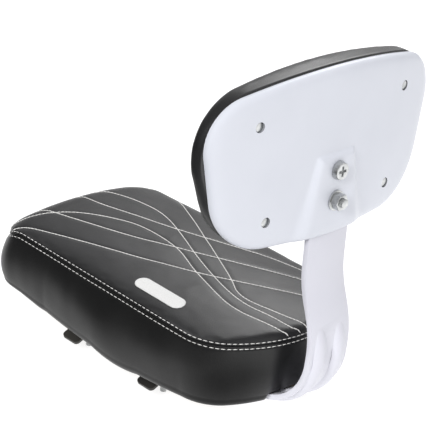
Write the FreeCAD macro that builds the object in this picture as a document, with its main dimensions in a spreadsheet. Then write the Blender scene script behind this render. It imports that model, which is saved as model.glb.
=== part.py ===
import FreeCAD, Part
import math
import os

import Sketcher

# A padded child seat for a bicycle's rear rack: a foam cushion on a plywood board, a bent flat-steel
# stem bolted under the board, and a padded backrest carried by a moulded shell on the stem.
# Millimetres. X is the rider's right, Y is forward and Z is up. The origin is midway between the four
# clamp bolts, level with the undersides of their nuts.

SIZES = {
    # cushion: planform at the stitched edge (seam) and at the lower edge (base), front is the head end
    "seam_head_half": 87.0, "seam_tail_half": 91.0, "seam_head_end": 163.5, "seam_tail_end": 152.5,
    "seam_head_corner": 34.0, "seam_tail_corner": 45.0, "seam_head_crown": 500.0, "seam_tail_crown": 125.0,
    "base_head_half": 86.0, "base_tail_half": 88.0, "base_head_end": 162.0, "base_tail_end": 142.0,
    "base_head_corner": 34.0, "base_tail_corner": 44.0, "base_head_crown": 500.0, "base_tail_crown": 145.0,
    "seam_height": 66.7, "roll_drop": 4.7, "roll_height": 9.0, "roll_inset": 8.0,
    "belly_height": 36.0, "belly_out": 4.0,
    "shoulder_inset": 8.0, "shoulder_rise": 16.0,
    "crown_rise": 12.0, "crown_across": 553.0, "crown_along": 3080.0, "crown_skirt": 30.0,
    "cover_gauge": 1.2, "hem_width": 14.0, "board_inset": 18.0, "board_gauge": 10.0,
    "label_length": 62.0, "label_width": 17.0, "label_gauge": 0.6, "label_film": 0.3,
    "label_inset": 24.0, "label_back": 38.0,
    "staple_crown": 10.0, "staple_wire": 0.8, "staple_leg": 6.0, "staple_pitch": 36.0,
    # stem: flat strip with two stiffening beads pressed through the lower bend
    "stem_width": 48.0, "stem_gauge": 5.0, "stem_corner": 16.0, "stem_nose": 3.0, "stem_back": 176.0,
    "stem_bend": 51.5, "stem_rise": 7.0, "stem_sweep": 97.0, "stem_slant_angle": 23.0, "stem_top": 5.0,
    "bead_side": 12.0, "bead_round": 10.0, "bead_height": 3.5, "bead_reach": 25.0, "bead_root": 4.0,
    "bead_start_angle": 32.0, "bead_turn_angle": 147.0,
    "stem_notch_clear": 2.0, "stem_notch_rise": 13.0,
    # clamp bars and the bolts that hang them from the board
    "bar_length": 172.0, "bar_width": 20.0, "bar_gauge": 3.0, "bar_shoulder": 1.75, "bar_bend": 8.0,
    "bar_droop_angle": 25.0, "bar_corner": 4.0, "clamp_across": 120.0, "clamp_along": 98.0,
    "thread": 6.0, "shank": 5.35, "hole_clear": 0.5, "clamp_tail": 12.8,
    "head_width": 13.0, "head_height": 3.2, "head_crown": 8.2, "neck_depth": 4.0,
    "nut_width": 10.0, "nut_height": 5.0, "washer_width": 12.5, "washer_gauge": 1.2,
    "leg_bolt_front": 12.0, "leg_bolt_rear": 88.0, "leg_bolt_tail": 2.0,
    "pocket_clear": 1.0,
    # backrest: outline of the shell's rim, seen from behind, top is the head end
    "back_head_half": 135.5, "back_tail_half": 128.0, "back_head_end": 74.0, "back_tail_end": 74.0,
    "back_head_corner": 41.5, "back_tail_corner": 58.5, "back_head_crown": 495.0, "back_tail_crown": 1550.0,
    "back_level": 233.0, "back_rim": 145.6, "back_lean_angle": 3.3, "back_bow": 585.0,
    "shell_depth": 7.5, "shell_wall": 2.5, "shell_round": 6.0,
    "boss_depth": 11.5, "boss_floor": 3.3, "boss_draft": 10.0, "boss_top": 3.0, "boss_lift": 3.0,
    "boss_round": 8.0, "boss_top_half": 20.0, "boss_foot_half": 31.0, "boss_wall": 2.5, "stem_clear": 0.3,
    "pad_overhang": 1.5, "pad_depth": 30.0, "pad_round": 10.0,
    "back_board_inset": 5.0, "back_board_gauge": 7.0, "back_hem_width": 8.0,
    "screw_top_side": 89.6, "screw_top_rise": 38.0, "screw_low_side": 74.8, "screw_low_drop": 47.0,
    "screw_thread": 4.0, "screw_head": 8.0, "screw_cap": 2.2, "screw_grip": 5.5, "screw_sink": 3.4,
    "sink_width": 10.0, "post_width": 14.0,
    "back_thread": 8.0, "back_nut_width": 13.0, "back_nut_height": 6.5, "back_bolt_tail": 2.0,
    "upper_bolt_drop": 15.0, "lower_bolt_drop": 42.0, "pan_width": 17.0, "pan_height": 5.0, "pan_bevel": 1.2,
    "recess_long": 9.0, "recess_wide": 2.2, "recess_depth": 2.6,
    "flange_width": 18.0, "flange_gauge": 1.6, "stud_tail": 3.0, "lower_head_width": 17.0,
    "lower_head_crown": 11.4, "lower_head_height": 4.0, "bolt_room": 22.0,
}

doc = FreeCAD.newDocument("child_bike_seat")
sheet = doc.addObject("Spreadsheet::Sheet", "Sizes")
for row, (alias, number) in enumerate(SIZES.items(), start=1):
    sheet.set(f"A{row}", str(number))
    sheet.setAlias(f"A{row}", alias)
doc.recompute()

V = FreeCAD.Vector
UPRIGHT = FreeCAD.Rotation(V(1, 0, 0), 90)
SIDEWAYS = FreeCAD.Rotation(V(1, 1, 1), 120)
ALONG_Y = FreeCAD.Rotation(V(1, 0, 0), -90)
FLAT = FreeCAD.Rotation()

# levels, stacked upward from the clamp nuts, and the backrest's place
BAR_UNDER = "(Sizes.nut_height + Sizes.washer_gauge)"
LEG_UNDER = f"({BAR_UNDER} + Sizes.bar_gauge)"
BOARD_UNDER = f"({LEG_UNDER} + Sizes.stem_gauge)"
BOARD_TOP = f"({BOARD_UNDER} + Sizes.board_gauge)"
ROLL_LEVEL = f"({BOARD_UNDER} - Sizes.roll_drop)"
EDGE_LEVEL = f"({ROLL_LEVEL} + Sizes.roll_height)"
SEAM_LEVEL = f"({ROLL_LEVEL} + Sizes.seam_height)"
CUSHION_MIDDLE = "((Sizes.seam_head_end - Sizes.seam_tail_end) / 2)"
BACK_LEVEL = f"({BOARD_UNDER} + Sizes.back_level)"
# lengths that reach clear through the whole seat, and clear through the backrest
FAR = "(2 * (Sizes.seam_head_end + Sizes.seam_tail_end))"
PAST_PAD = "(2 * Sizes.pad_depth)"
TOUCH = 1e-6


def number_of(expression):
    return float(sheet.evalExpression(expression))


def add(kind, name, bounds=None, turn=FLAT, **properties):
    """Add an object, set its plain properties and tie its sizes to the sheet."""
    obj = doc.addObject(kind, name)
    obj.Placement = FreeCAD.Placement(V(), turn)
    for key, setting in properties.items():
        setattr(obj, key, setting)
    for path, expression in (bounds or {}).items():
        obj.setExpression(path, expression)
    return obj


def at(x="0", y="0", z="0"):
    return {"Placement.Base.x": x, "Placement.Base.y": y, "Placement.Base.z": z}


def cylinder(name, width, height, place, turn=FLAT):
    return add("Part::Cylinder", name, {"Radius": f"({width}) / 2", "Height": height, **place}, turn)


def box(name, long_x, long_y, long_z, place):
    return add("Part::Box", name, {"Length": long_x, "Width": long_y, "Height": long_z, **place})


def hexagon(name, across_flats, height, place, turn=FLAT):
    sizes = {"Circumradius": f"({across_flats}) / sqrt(3)", "Height": height}
    return add("Part::Prism", name, {**sizes, **place}, turn, Polygon=6)


def fuse(name, *shapes):
    return add("Part::MultiFuse", name, Shapes=list(shapes))


def group(name, shapes):
    return add("Part::Compound", name, Links=list(shapes))


def cut(name, base, *tools):
    tool = tools[0] if len(tools) == 1 else fuse(name + "_tools", *tools)
    return add("Part::Cut", name, Base=base, Tool=tool)


def common(name, first, second):
    return add("Part::Common", name, Base=first, Tool=second)


def extrude(name, sketch, direction, ahead, behind="0"):
    lengths = {"LengthFwd": ahead, "LengthRev": behind}
    return add("Part::Extrusion", name, lengths, Base=sketch, DirMode="Custom", Dir=direction, Solid=True)


def fillet(name, base, alias, wanted):
    """Round those edges of a body for which wanted(edge) is true, by a radius from the sheet."""
    doc.recompute()
    radius = sheet.get(alias)
    picked = [number for number, edge in enumerate(base.Shape.Edges, start=1) if wanted(edge)]
    return add("Part::Fillet", name, Base=base, Edges=[(number, radius, radius) for number in picked])


def constrain(sketch, kind, *arguments, name="", expression=""):
    """Add a constraint. A dimension starts at its expression's value and stays tied to it."""
    if not expression:
        sketch.addConstraint(Sketcher.Constraint(kind, *arguments))
        return
    value = number_of(expression)
    if kind == "Angle":
        value = math.radians(value)
    index = sketch.addConstraint(Sketcher.Constraint(kind, *arguments, value))
    sketch.renameConstraint(index, name)
    sketch.setExpression(f"Constraints.{name}", expression)


def arc(center, radius, start, end):
    """Arc drawn anticlockwise from one point to another."""
    first = math.atan2(start.y - center.y, start.x - center.x)
    last = math.atan2(end.y - center.y, end.x - center.x)
    if last <= first:
        last += 2 * math.pi
    return Part.ArcOfCircle(Part.Circle(center, V(0, 0, 1), radius), first, last)


def crowned_outline(name, family, inset, place, turn=FLAT):
    """Closed outline with bowed ends, rounded corners and straight sides, offset inward by inset."""
    ends = {}
    for end, sign in (("head", 1), ("tail", -1)):
        half, reach, corner, crown = (
            f"(Sizes.{family}_{end}_{what} - ({inset}))" for what in ("half", "end", "corner", "crown"))
        bow = number_of(crown)
        nook = number_of(corner)
        bow_middle = V(0, sign * (number_of(reach) - bow))
        side = number_of(half) - nook
        nook_middle = bow_middle + V(side, sign * math.sqrt((bow - nook) ** 2 - side ** 2))
        meet = bow_middle + (nook_middle - bow_middle) * (bow / (bow - nook))
        ends[end] = (sign, half, reach, corner, crown, bow_middle, nook_middle, meet)
    head_middle, tail_middle = ends["head"][6], ends["tail"][6]
    head_nook, tail_nook = number_of(ends["head"][3]), number_of(ends["tail"][3])
    run = head_middle - tail_middle
    tilt = math.asin((tail_nook - head_nook) / run.Length)
    run.normalize()
    normal = V(run.y, -run.x) * math.cos(tilt) + run * math.sin(tilt)
    head_side = head_middle + normal * head_nook
    tail_side = tail_middle + normal * tail_nook
    head_meet, tail_meet = ends["head"][7], ends["tail"][7]

    def flip(point):
        return V(-point.x, point.y)

    sketch = add("Sketcher::SketchObject", name, place, turn)
    sketch.addGeometry([
        arc(ends["tail"][5], number_of(ends["tail"][4]), flip(tail_meet), tail_meet),
        arc(tail_middle, tail_nook, tail_meet, tail_side),
        Part.LineSegment(tail_side, head_side),
        arc(head_middle, head_nook, head_side, head_meet),
        arc(ends["head"][5], number_of(ends["head"][4]), head_meet, flip(head_meet)),
        arc(flip(head_middle), head_nook, flip(head_meet), flip(head_side)),
        Part.LineSegment(flip(head_side), flip(tail_side)),
        arc(flip(tail_middle), tail_nook, flip(tail_side), flip(tail_meet)),
    ])
    for edge in range(8):
        constrain(sketch, "Tangent", edge, 2, (edge + 1) % 8, 1)
    for end, bow_edge, right, left in (("tail", 0, 1, 7), ("head", 4, 3, 5)):
        sign, half, reach, corner, crown = ends[end][:5]
        constrain(sketch, "PointOnObject", bow_edge, 3, -2)
        constrain(sketch, "Radius", bow_edge, name=f"{end}_crown", expression=crown)
        constrain(sketch, "DistanceY", -1, 1, bow_edge, 3, name=f"{end}_end",
                  expression=f"{sign} * ({reach} - {crown})")
        constrain(sketch, "Radius", right, name=f"{end}_corner", expression=corner)
        constrain(sketch, "Equal", right, left)
        constrain(sketch, "DistanceX", -1, 1, right, 3, name=f"{end}_half", expression=f"{half} - {corner}")
        constrain(sketch, "DistanceX", left, 3, right, 3, name=f"{end}_width",
                  expression=f"2 * ({half} - {corner})")
    return sketch


def ring_of_lines(sketch, corners):
    """Closed run of straight lines through the given corners."""
    count = len(corners)
    for index in range(count):
        sketch.addGeometry(Part.LineSegment(corners[index], corners[(index + 1) % count]))
    for index in range(count):
        constrain(sketch, "Coincident", index, 2, (index + 1) % count, 1)


def rectangle(name, wide, tall, place, turn):
    """Rectangle centred on its own origin."""
    half_wide, half_tall = number_of(wide) / 2, number_of(tall) / 2
    sketch = add("Sketcher::SketchObject", name, place, turn)
    ring_of_lines(sketch, [V(-half_wide, -half_tall), V(half_wide, -half_tall),
                           V(half_wide, half_tall), V(-half_wide, half_tall)])
    for edge, kind in enumerate(("Horizontal", "Vertical", "Horizontal", "Vertical")):
        constrain(sketch, kind, edge)
    constrain(sketch, "Symmetric", 0, 1, 1, 2, -1, 1)
    constrain(sketch, "DistanceX", 0, 1, 0, 2, name="wide", expression=wide)
    constrain(sketch, "DistanceY", 1, 1, 1, 2, name="tall", expression=tall)
    return sketch


def trapezoid(name, top_half, low_half, top, low, place):
    """Upright trapezoid, symmetric about the middle, given by its two half widths and levels."""
    wide, narrow = number_of(low_half), number_of(top_half)
    high, deep = number_of(top), number_of(low)
    sketch = add("Sketcher::SketchObject", name, place, UPRIGHT)
    ring_of_lines(sketch, [V(-wide, deep), V(wide, deep), V(narrow, high), V(-narrow, high)])
    constrain(sketch, "Symmetric", 0, 1, 0, 2, -2)
    constrain(sketch, "Symmetric", 2, 1, 2, 2, -2)
    constrain(sketch, "DistanceX", 0, 1, 0, 2, name="low_width", expression=f"2 * ({low_half})")
    constrain(sketch, "DistanceX", 2, 2, 2, 1, name="top_width", expression=f"2 * ({top_half})")
    constrain(sketch, "DistanceY", -1, 1, 0, 1, name="low_level", expression=low)
    constrain(sketch, "DistanceY", -1, 1, 2, 1, name="top_level", expression=top)
    return sketch


def lean(obj):
    """Carry a piece drawn about the middle of the backrest's rim to its place on the leaning stem."""
    obj.Placement = FreeCAD.Placement(V(), FreeCAD.Rotation(V(-1, 0, 0), sheet.get("back_lean_angle")))
    obj.setExpression("Placement.Rotation.Angle", "Sizes.back_lean_angle")
    obj.setExpression("Placement.Base.y", "-Sizes.back_rim")
    obj.setExpression("Placement.Base.z", BACK_LEVEL)
    return obj


def cushion_sides(name, skin):
    """Cushion below the seam: a rolled lower edge, then walls that swell and draw in to the seam."""
    sections = [
        crowned_outline(name + "_roll", "base", f"Sizes.roll_inset + {skin}", at(z=f"{ROLL_LEVEL} + {skin}")),
        crowned_outline(name + "_edge", "base", skin, at(z=EDGE_LEVEL)),
        crowned_outline(name + "_belly", "seam", f"{skin} - Sizes.belly_out",
                        at(z=f"{ROLL_LEVEL} + Sizes.belly_height")),
        crowned_outline(name + "_seam", "seam", skin, at(z=SEAM_LEVEL)),
    ]
    return add("Part::Loft", name, Sections=sections, Solid=True, Ruled=True)


def crown_section(name, swell, y, drop):
    """Upright section of the space under the cushion's bowed top, an arch on straight legs."""
    bow = f"(Sizes.crown_across + ({swell}))"
    top = f"({SEAM_LEVEL} + Sizes.crown_rise + ({swell}) - {drop})"
    half = "(Sizes.seam_tail_half + Sizes.crown_skirt)"
    radius, wide, foot = number_of(bow), number_of(half), number_of(ROLL_LEVEL)
    middle = V(0, number_of(top) - radius)
    spring = middle.y + math.sqrt(radius ** 2 - wide ** 2)
    corners = [V(-wide, spring), V(-wide, foot), V(wide, foot), V(wide, spring)]
    sketch = add("Sketcher::SketchObject", name, at("0", y), UPRIGHT)
    sketch.addGeometry([Part.LineSegment(corners[0], corners[1]), Part.LineSegment(corners[1], corners[2]),
                        Part.LineSegment(corners[2], corners[3]), arc(middle, radius, corners[3], corners[0])])
    for edge in range(4):
        constrain(sketch, "Coincident", edge, 2, (edge + 1) % 4, 1)
    constrain(sketch, "Vertical", 0)
    constrain(sketch, "Horizontal", 1)
    constrain(sketch, "Vertical", 2)
    constrain(sketch, "PointOnObject", 3, 3, -2)
    constrain(sketch, "Radius", 3, name="bow", expression=bow)
    constrain(sketch, "DistanceX", -1, 1, 2, 1, name="half", expression=half)
    constrain(sketch, "DistanceY", -1, 1, 1, 1, name="foot", expression=ROLL_LEVEL)
    constrain(sketch, "DistanceY", 3, 3, -1, 1, name="middle", expression=f"{bow} - {top}")
    return sketch


def crown_vault(name, swell):
    """Everything under the cushion's bowed top, moved outward by swell: it falls a little to both ends."""
    reach = "((Sizes.seam_head_end + Sizes.seam_tail_end) / 2 + Sizes.crown_skirt)"
    fall = f"(Sizes.crown_along - sqrt(Sizes.crown_along^2 - {reach}^2))"
    sections = []
    for part, step in (("rear", -1), ("middle", 0), ("front", 1)):
        place = f"{CUSHION_MIDDLE} + {step} * {reach}"
        sections.append(crown_section(f"{name}_{part}", swell, place, f"{step ** 2} * {fall}"))
    return add("Part::Loft", name, Sections=sections, Solid=True, Ruled=False)


def cushion_top(name, skin):
    """Cushion above the seam: a short shoulder under the bowed top."""
    sections = [
        crowned_outline(name + "_seam", "seam", skin, at(z=SEAM_LEVEL)),
        crowned_outline(name + "_shoulder", "seam", f"Sizes.shoulder_inset + {skin}",
                        at(z=f"{SEAM_LEVEL} + Sizes.shoulder_rise")),
    ]
    shoulder = add("Part::Loft", name + "_block", Sections=sections, Solid=True, Ruled=True)
    return common(name, shoulder, crown_vault(name + "_crown", f"-({skin})"))


def board_prism(name, inset, top):
    """Everything under a level within the board's outline, further inset."""
    outline = crowned_outline(name + "_outline", "base", f"Sizes.board_inset + {inset}", at())
    return extrude(name, outline, V(0, 0, 1), top)


SKIN = "Sizes.cover_gauge"
CLAMP_SPOTS = [(f"{side} * Sizes.clamp_across / 2", f"{end} * Sizes.clamp_along / 2")
               for side in (-1, 1) for end in (-1, 1)]
LEG_SPOTS = [("0", "Sizes.leg_bolt_front"), ("0", "-Sizes.leg_bolt_rear")]


def coach_bolt(name, x, y, nut_under, tail):
    """Round-headed bolt: head on the board's top, square neck, slim shank, full thread below its nut."""
    shank = cylinder(name + "_shank", "Sizes.shank", f"{BOARD_TOP} - {nut_under}", at(x, y, nut_under))
    free_end = cylinder(name + "_tail", "Sizes.thread", tail, at(x, y, f"{nut_under} - {tail}"))
    neck = box(name + "_neck", "Sizes.thread", "Sizes.thread", "Sizes.neck_depth",
               at(f"{x} - Sizes.thread / 2", f"{y} - Sizes.thread / 2", f"{BOARD_TOP} - Sizes.neck_depth"))
    crown = {"Radius1": "Sizes.head_width / 2", "Radius2": "Sizes.head_crown / 2",
             "Height": "Sizes.head_height"}
    head = add("Part::Cone", name + "_head", {**crown, **at(x, y, BOARD_TOP)})
    return fuse(name, shank, free_end, neck, head)


def washer(name, x, y, under):
    disc = cylinder(name + "_disc", "Sizes.washer_width", "Sizes.washer_gauge", at(x, y, under))
    bore = cylinder(name + "_bore", "Sizes.thread + Sizes.hole_clear", "Sizes.washer_gauge", at(x, y, under))
    return cut(name, disc, bore)


def nut(name, x, y, under):
    block = hexagon(name + "_block", "Sizes.nut_width", "Sizes.nut_height", at(x, y, under))
    bore = cylinder(name + "_bore", "Sizes.shank", "Sizes.nut_height", at(x, y, under))
    return cut(name, block, bore)


LEG_NUT = f"({LEG_UNDER} - Sizes.washer_gauge - Sizes.nut_height)"
clamp_bolts = group("clamp_bolts", [coach_bolt(f"clamp_bolt_{i}", x, y, "0", "Sizes.clamp_tail")
                                    for i, (x, y) in enumerate(CLAMP_SPOTS)])
clamp_washers = group("clamp_washers", [washer(f"clamp_washer_{i}", x, y, "Sizes.nut_height")
                                        for i, (x, y) in enumerate(CLAMP_SPOTS)])
clamp_nuts = group("clamp_nuts", [nut(f"clamp_nut_{i}", x, y, "0") for i, (x, y) in enumerate(CLAMP_SPOTS)])
stem_bolts = group("stem_bolts", [coach_bolt(f"stem_bolt_{i}", x, y, LEG_NUT, "Sizes.leg_bolt_tail")
                                  for i, (x, y) in enumerate(LEG_SPOTS)])
stem_washers = group("stem_washers", [washer(f"stem_washer_{i}", x, y, f"{LEG_UNDER} - Sizes.washer_gauge")
                                      for i, (x, y) in enumerate(LEG_SPOTS)])
stem_nuts = group("stem_nuts", [nut(f"stem_nut_{i}", x, y, LEG_NUT) for i, (x, y) in enumerate(LEG_SPOTS)])


def staple(name, x, y, along_x):
    """Wire staple with its crown under the hem and both legs up in the board."""
    wire = "Sizes.staple_wire"
    under = f"{BOARD_UNDER} - Sizes.cover_gauge - {wire}"
    reach = f"{wire} + Sizes.cover_gauge + Sizes.staple_leg"
    half = "Sizes.staple_crown / 2"
    legs = []
    for side in (-1, 1):
        shift = f"{side} * ({half} - {wire} / 2)"
        leg_x, leg_y = (f"{x} + {shift}", y) if along_x else (x, f"{y} + {shift}")
        legs.append(box(f"{name}_leg_{side + 1}", wire, wire, reach,
                        at(f"{leg_x} - {wire} / 2", f"{leg_y} - {wire} / 2", under)))
    long_x, long_y = ("Sizes.staple_crown", wire) if along_x else (wire, "Sizes.staple_crown")
    crown = box(f"{name}_crown", long_x, long_y, wire, at(f"{x} - {long_x} / 2", f"{y} - {long_y} / 2", under))
    return fuse(name, crown, *legs)


HEM_MIDDLE = "(Sizes.board_inset + Sizes.hem_width / 2)"
# the sides taper a little from the rear corner to the front one
TAPER = "(Sizes.base_tail_half - Sizes.base_head_half) / (Sizes.base_head_end + Sizes.base_tail_end)"


def hem_end(end):
    """Distance from the middle to the hem at the outer staples of a bowed end."""
    bow = f"(Sizes.base_{end}_crown - {HEM_MIDDLE})"
    return f"(Sizes.base_{end}_end - Sizes.base_{end}_crown + sqrt({bow}^2 - Sizes.staple_pitch^2))"


staples = []
for side in (-1, 1):
    for step in (-2, -1, 0, 1, 2):
        y = f"{step} * Sizes.staple_pitch"
        half = f"(Sizes.base_head_half + Sizes.base_tail_half) / 2 - {TAPER} * {step} * Sizes.staple_pitch"
        x = f"{side} * ({half} - {HEM_MIDDLE})"
        staples.append(staple(f"side_staple_{side + 1}_{step + 2}", x, y, False))
    across = f"{side} * Sizes.staple_pitch"
    staples.append(staple(f"front_staple_{side + 1}", across, hem_end("head"), True))
    staples.append(staple(f"rear_staple_{side + 1}", across, f"0 - {hem_end('tail')}", True))
hem_staples = group("hem_staples", staples)

# gap in the rolled edge and the hem where the stem leaves the board
NOTCH_FRONT = "(0 - Sizes.base_tail_end + Sizes.board_inset + Sizes.hem_width + 2 * Sizes.stem_notch_clear)"
stem_notch = box("stem_notch", "Sizes.stem_width + 2 * Sizes.stem_notch_clear", FAR,
                 "Sizes.stem_notch_rise",
                 at("-Sizes.stem_width / 2 - Sizes.stem_notch_clear", f"{NOTCH_FRONT} - {FAR}", ROLL_LEVEL))

board_block = cut("board_block", board_prism("board_below", "0", BOARD_TOP),
                  box("board_floor", FAR, FAR, BOARD_UNDER, at(f"-{FAR} / 2", f"-{FAR} / 2")))
seat_board = cut("seat_board", board_block, clamp_bolts, stem_bolts, hem_staples)

outer_sides = cut("outer_sides", cushion_sides("outer_loft", "0"),
                  board_prism("outer_recess", SKIN, f"{BOARD_UNDER} - {SKIN}"))
inner_loft = cushion_sides("inner_loft", SKIN)
inner_sides = cut("inner_sides", inner_loft, board_prism("inner_recess", "0", BOARD_UNDER))
hem_opening = board_prism("hem_opening", "Sizes.hem_width", BOARD_UNDER)
hem_holes = [cylinder(f"hem_hole_{i}", "Sizes.thread + Sizes.hole_clear", BOARD_UNDER, at(x, y))
             for i, (x, y) in enumerate(CLAMP_SPOTS)]
seat_side_band = cut("seat_side_band", outer_sides, inner_sides, hem_opening, stem_notch,
                     hem_staples, *hem_holes)

inner_top = cushion_top("inner_top", SKIN)
seat_top_cover = cut("seat_top_cover", cushion_top("outer_top", "0"), inner_top)

head_pockets = [cylinder(f"head_pocket_{i}", "Sizes.head_width + 2 * Sizes.pocket_clear",
                         "Sizes.head_height + Sizes.pocket_clear", at(x, y, BOARD_TOP))
                for i, (x, y) in enumerate(CLAMP_SPOTS + LEG_SPOTS)]
foam_block = fuse("foam_block", inner_loft, inner_top)
seat_foam = cut("seat_foam", foam_block, board_prism("foam_recess", "0", BOARD_TOP), stem_notch, *head_pockets)

# plain stadium-shaped patch on the left of the top, held by a thin film of glue
label_straight = "(Sizes.label_length - Sizes.label_width)"
label_x = "(Sizes.label_inset - Sizes.seam_tail_half)"
label_y = "-Sizes.label_back"
label_middle = box("label_middle", "Sizes.label_width", label_straight, FAR,
                   at(f"{label_x} - Sizes.label_width / 2", f"{label_y} - {label_straight} / 2"))
label_ends = [cylinder(f"label_end_{side + 1}", "Sizes.label_width", FAR,
                       at(label_x, f"{label_y} + {side} * {label_straight} / 2")) for side in (-1, 1)]
label_block = fuse("label_block", label_middle, *label_ends)
label_face = crown_vault("label_face", "Sizes.label_film + Sizes.label_gauge")
label_skin = common("label_skin", label_block, label_face)
cover_label = cut("cover_label", label_skin, crown_vault("label_seat", "Sizes.label_film"))


LEG_MIDDLE = f"({LEG_UNDER} + Sizes.stem_gauge / 2)"
LEG_FRONT = "(Sizes.clamp_along / 2 + Sizes.bar_width / 2 + Sizes.stem_nose)"
BEND_LEVEL = f"({LEG_MIDDLE} + Sizes.stem_bend)"
STEM_IN_BACK = "(Sizes.boss_depth - Sizes.boss_floor - Sizes.stem_gauge / 2)"


def stem_path():
    """Middle line of the strip, seen from the rider's left: leg, bend, rise, S sweep, upright."""
    gauge_line = number_of(LEG_MIDDLE)
    bend = sheet.get("stem_bend")
    back = sheet.get("stem_back")
    sweep = sheet.get("stem_sweep")
    slant = math.radians(sheet.get("stem_slant_angle"))
    tilt = math.radians(sheet.get("back_lean_angle"))
    rise, run = "cos(Sizes.back_lean_angle * 1deg)", "sin(Sizes.back_lean_angle * 1deg)"
    top_y = f"-Sizes.back_rim - {STEM_IN_BACK} * {rise} - Sizes.stem_top * {run}"
    top_z = f"{BACK_LEVEL} + {STEM_IN_BACK} * {run} - Sizes.stem_top * {rise}"
    start_level = number_of(BEND_LEVEL) + sheet.get("stem_rise")

    leg_front = V(number_of(LEG_FRONT), gauge_line)
    leg_rear = V(bend - back, gauge_line)
    bend_middle = V(bend - back, gauge_line + bend)
    rise_foot = V(-back, gauge_line + bend)
    rise_head = V(-back, start_level)
    low_middle = V(sweep - back, start_level)
    link_foot = low_middle + V(-math.cos(slant), math.sin(slant)) * sweep
    top = V(number_of(top_y), number_of(top_z))
    upright = V(math.sin(tilt), math.cos(tilt))
    # the link's length brings the upper arc onto the line of the upright
    normal = V(math.cos(tilt), -math.sin(tilt))
    slope = V(math.sin(slant), math.cos(slant))
    turn = V(-math.cos(slant), math.sin(slant)) * sweep + normal * sweep
    link = (top - link_foot - turn).dot(normal) / slope.dot(normal)
    link_head = link_foot + slope * link
    high_middle = link_head + V(-math.cos(slant), math.sin(slant)) * sweep
    upright_foot = high_middle + normal * sweep

    sketch = add("Sketcher::SketchObject", "stem_path", turn=SIDEWAYS)
    sketch.addGeometry([
        Part.LineSegment(leg_front, leg_rear),
        arc(bend_middle, bend, rise_foot, leg_rear),
        Part.LineSegment(rise_foot, rise_head),
        arc(low_middle, sweep, link_foot, rise_head),
        Part.LineSegment(link_foot, link_head),
        arc(high_middle, sweep, link_head, upright_foot),
        Part.LineSegment(upright_foot, top),
    ])
    for first, first_end, second, second_end in ((0, 2, 1, 2), (1, 1, 2, 1), (2, 2, 3, 2), (3, 1, 4, 1),
                                                 (4, 2, 5, 1), (5, 2, 6, 1)):
        constrain(sketch, "Tangent", first, first_end, second, second_end)
    constrain(sketch, "Horizontal", 0)
    constrain(sketch, "Vertical", 2)
    constrain(sketch, "Radius", 1, name="bend", expression="Sizes.stem_bend")
    constrain(sketch, "Radius", 3, name="sweep", expression="Sizes.stem_sweep")
    constrain(sketch, "Equal", 3, 5)
    constrain(sketch, "DistanceX", -1, 1, 0, 1, name="front", expression=LEG_FRONT)
    constrain(sketch, "DistanceY", -1, 1, 0, 1, name="leg", expression=LEG_MIDDLE)
    constrain(sketch, "DistanceX", 2, 1, -1, 1, name="back", expression="Sizes.stem_back")
    constrain(sketch, "DistanceY", 2, 1, 2, 2, name="rise", expression="Sizes.stem_rise")
    constrain(sketch, "Angle", 4, name="slant", expression="90 - Sizes.stem_slant_angle")
    constrain(sketch, "Angle", 6, name="tilt", expression="90 - Sizes.back_lean_angle")
    constrain(sketch, "DistanceX", 6, 2, -1, 1, name="top_y", expression=f"-({top_y})")
    constrain(sketch, "DistanceY", -1, 1, 6, 2, name="top_z", expression=top_z)
    return sketch


def bead_round(name, crest, round_size, root):
    """Round-backed section in the plane of the bead's axis, crest outward (towards the rear)."""
    radius, depth, top = number_of(round_size), number_of(root), number_of(crest)
    half = math.sqrt(radius ** 2 - (radius - depth) ** 2)
    middle = V(0, radius - top)
    left, right = V(-half, depth - top), V(half, depth - top)
    sketch = add("Sketcher::SketchObject", name)
    sketch.addGeometry([arc(middle, radius, left, right), Part.LineSegment(right, left)])
    constrain(sketch, "Coincident", 0, 2, 1, 1)
    constrain(sketch, "Coincident", 1, 2, 0, 1)
    constrain(sketch, "PointOnObject", 0, 3, -2)
    constrain(sketch, "Horizontal", 1)
    constrain(sketch, "Radius", 0, name="round", expression=round_size)
    constrain(sketch, "DistanceY", 0, 3, -1, 1, name="middle", expression=f"{crest} - ({round_size})")
    constrain(sketch, "DistanceY", 1, 1, -1, 1, name="root", expression=f"{crest} - ({root})")
    return sketch


# the beads' crest is an arc that stands out most in the bend and sinks into the strip at both ends
OUTER_BEND = "(Sizes.stem_bend + Sizes.stem_gauge / 2)"
CREST_OUT = f"({OUTER_BEND} + Sizes.bead_height)"
CREST_SHIFT = (f"(({OUTER_BEND}^2 + Sizes.bead_reach^2 - {CREST_OUT}^2)"
               f" / (2 * (({OUTER_BEND} - Sizes.bead_reach) / sqrt(2) - {CREST_OUT})))")
CREST_ROUND = f"({CREST_OUT} - {CREST_SHIFT})"
BEAD_PLACE = at("0", f"Sizes.stem_bend - Sizes.stem_back - {CREST_SHIFT} / sqrt(2)",
                f"{BEND_LEVEL} - {CREST_SHIFT} / sqrt(2)")


def pressed_beads(name, crest, round_size, root):
    """Pair of round bars bent about the bead centre, one each side of the middle."""
    turned = []
    for side in (-1, 1):
        section = bead_round(f"{name}_section_{side + 1}", crest, round_size, root)
        section.setExpression("Placement.Base.x", f"{side} * Sizes.bead_side")
        turned.append(add("Part::Revolution", f"{name}_{side + 1}", {"Angle": "Sizes.bead_turn_angle"},
                          Source=section, Axis=V(1, 0, 0), Base=V(0, 0, 0), Solid=True))
    pair = group(name, turned)
    pair.Placement = FreeCAD.Placement(V(), FreeCAD.Rotation(V(-1, 0, 0), sheet.get("bead_start_angle")))
    pair.setExpression("Placement.Rotation.Angle", "Sizes.bead_start_angle")
    for path, expression in BEAD_PLACE.items():
        pair.setExpression(path, expression)
    return pair


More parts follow.
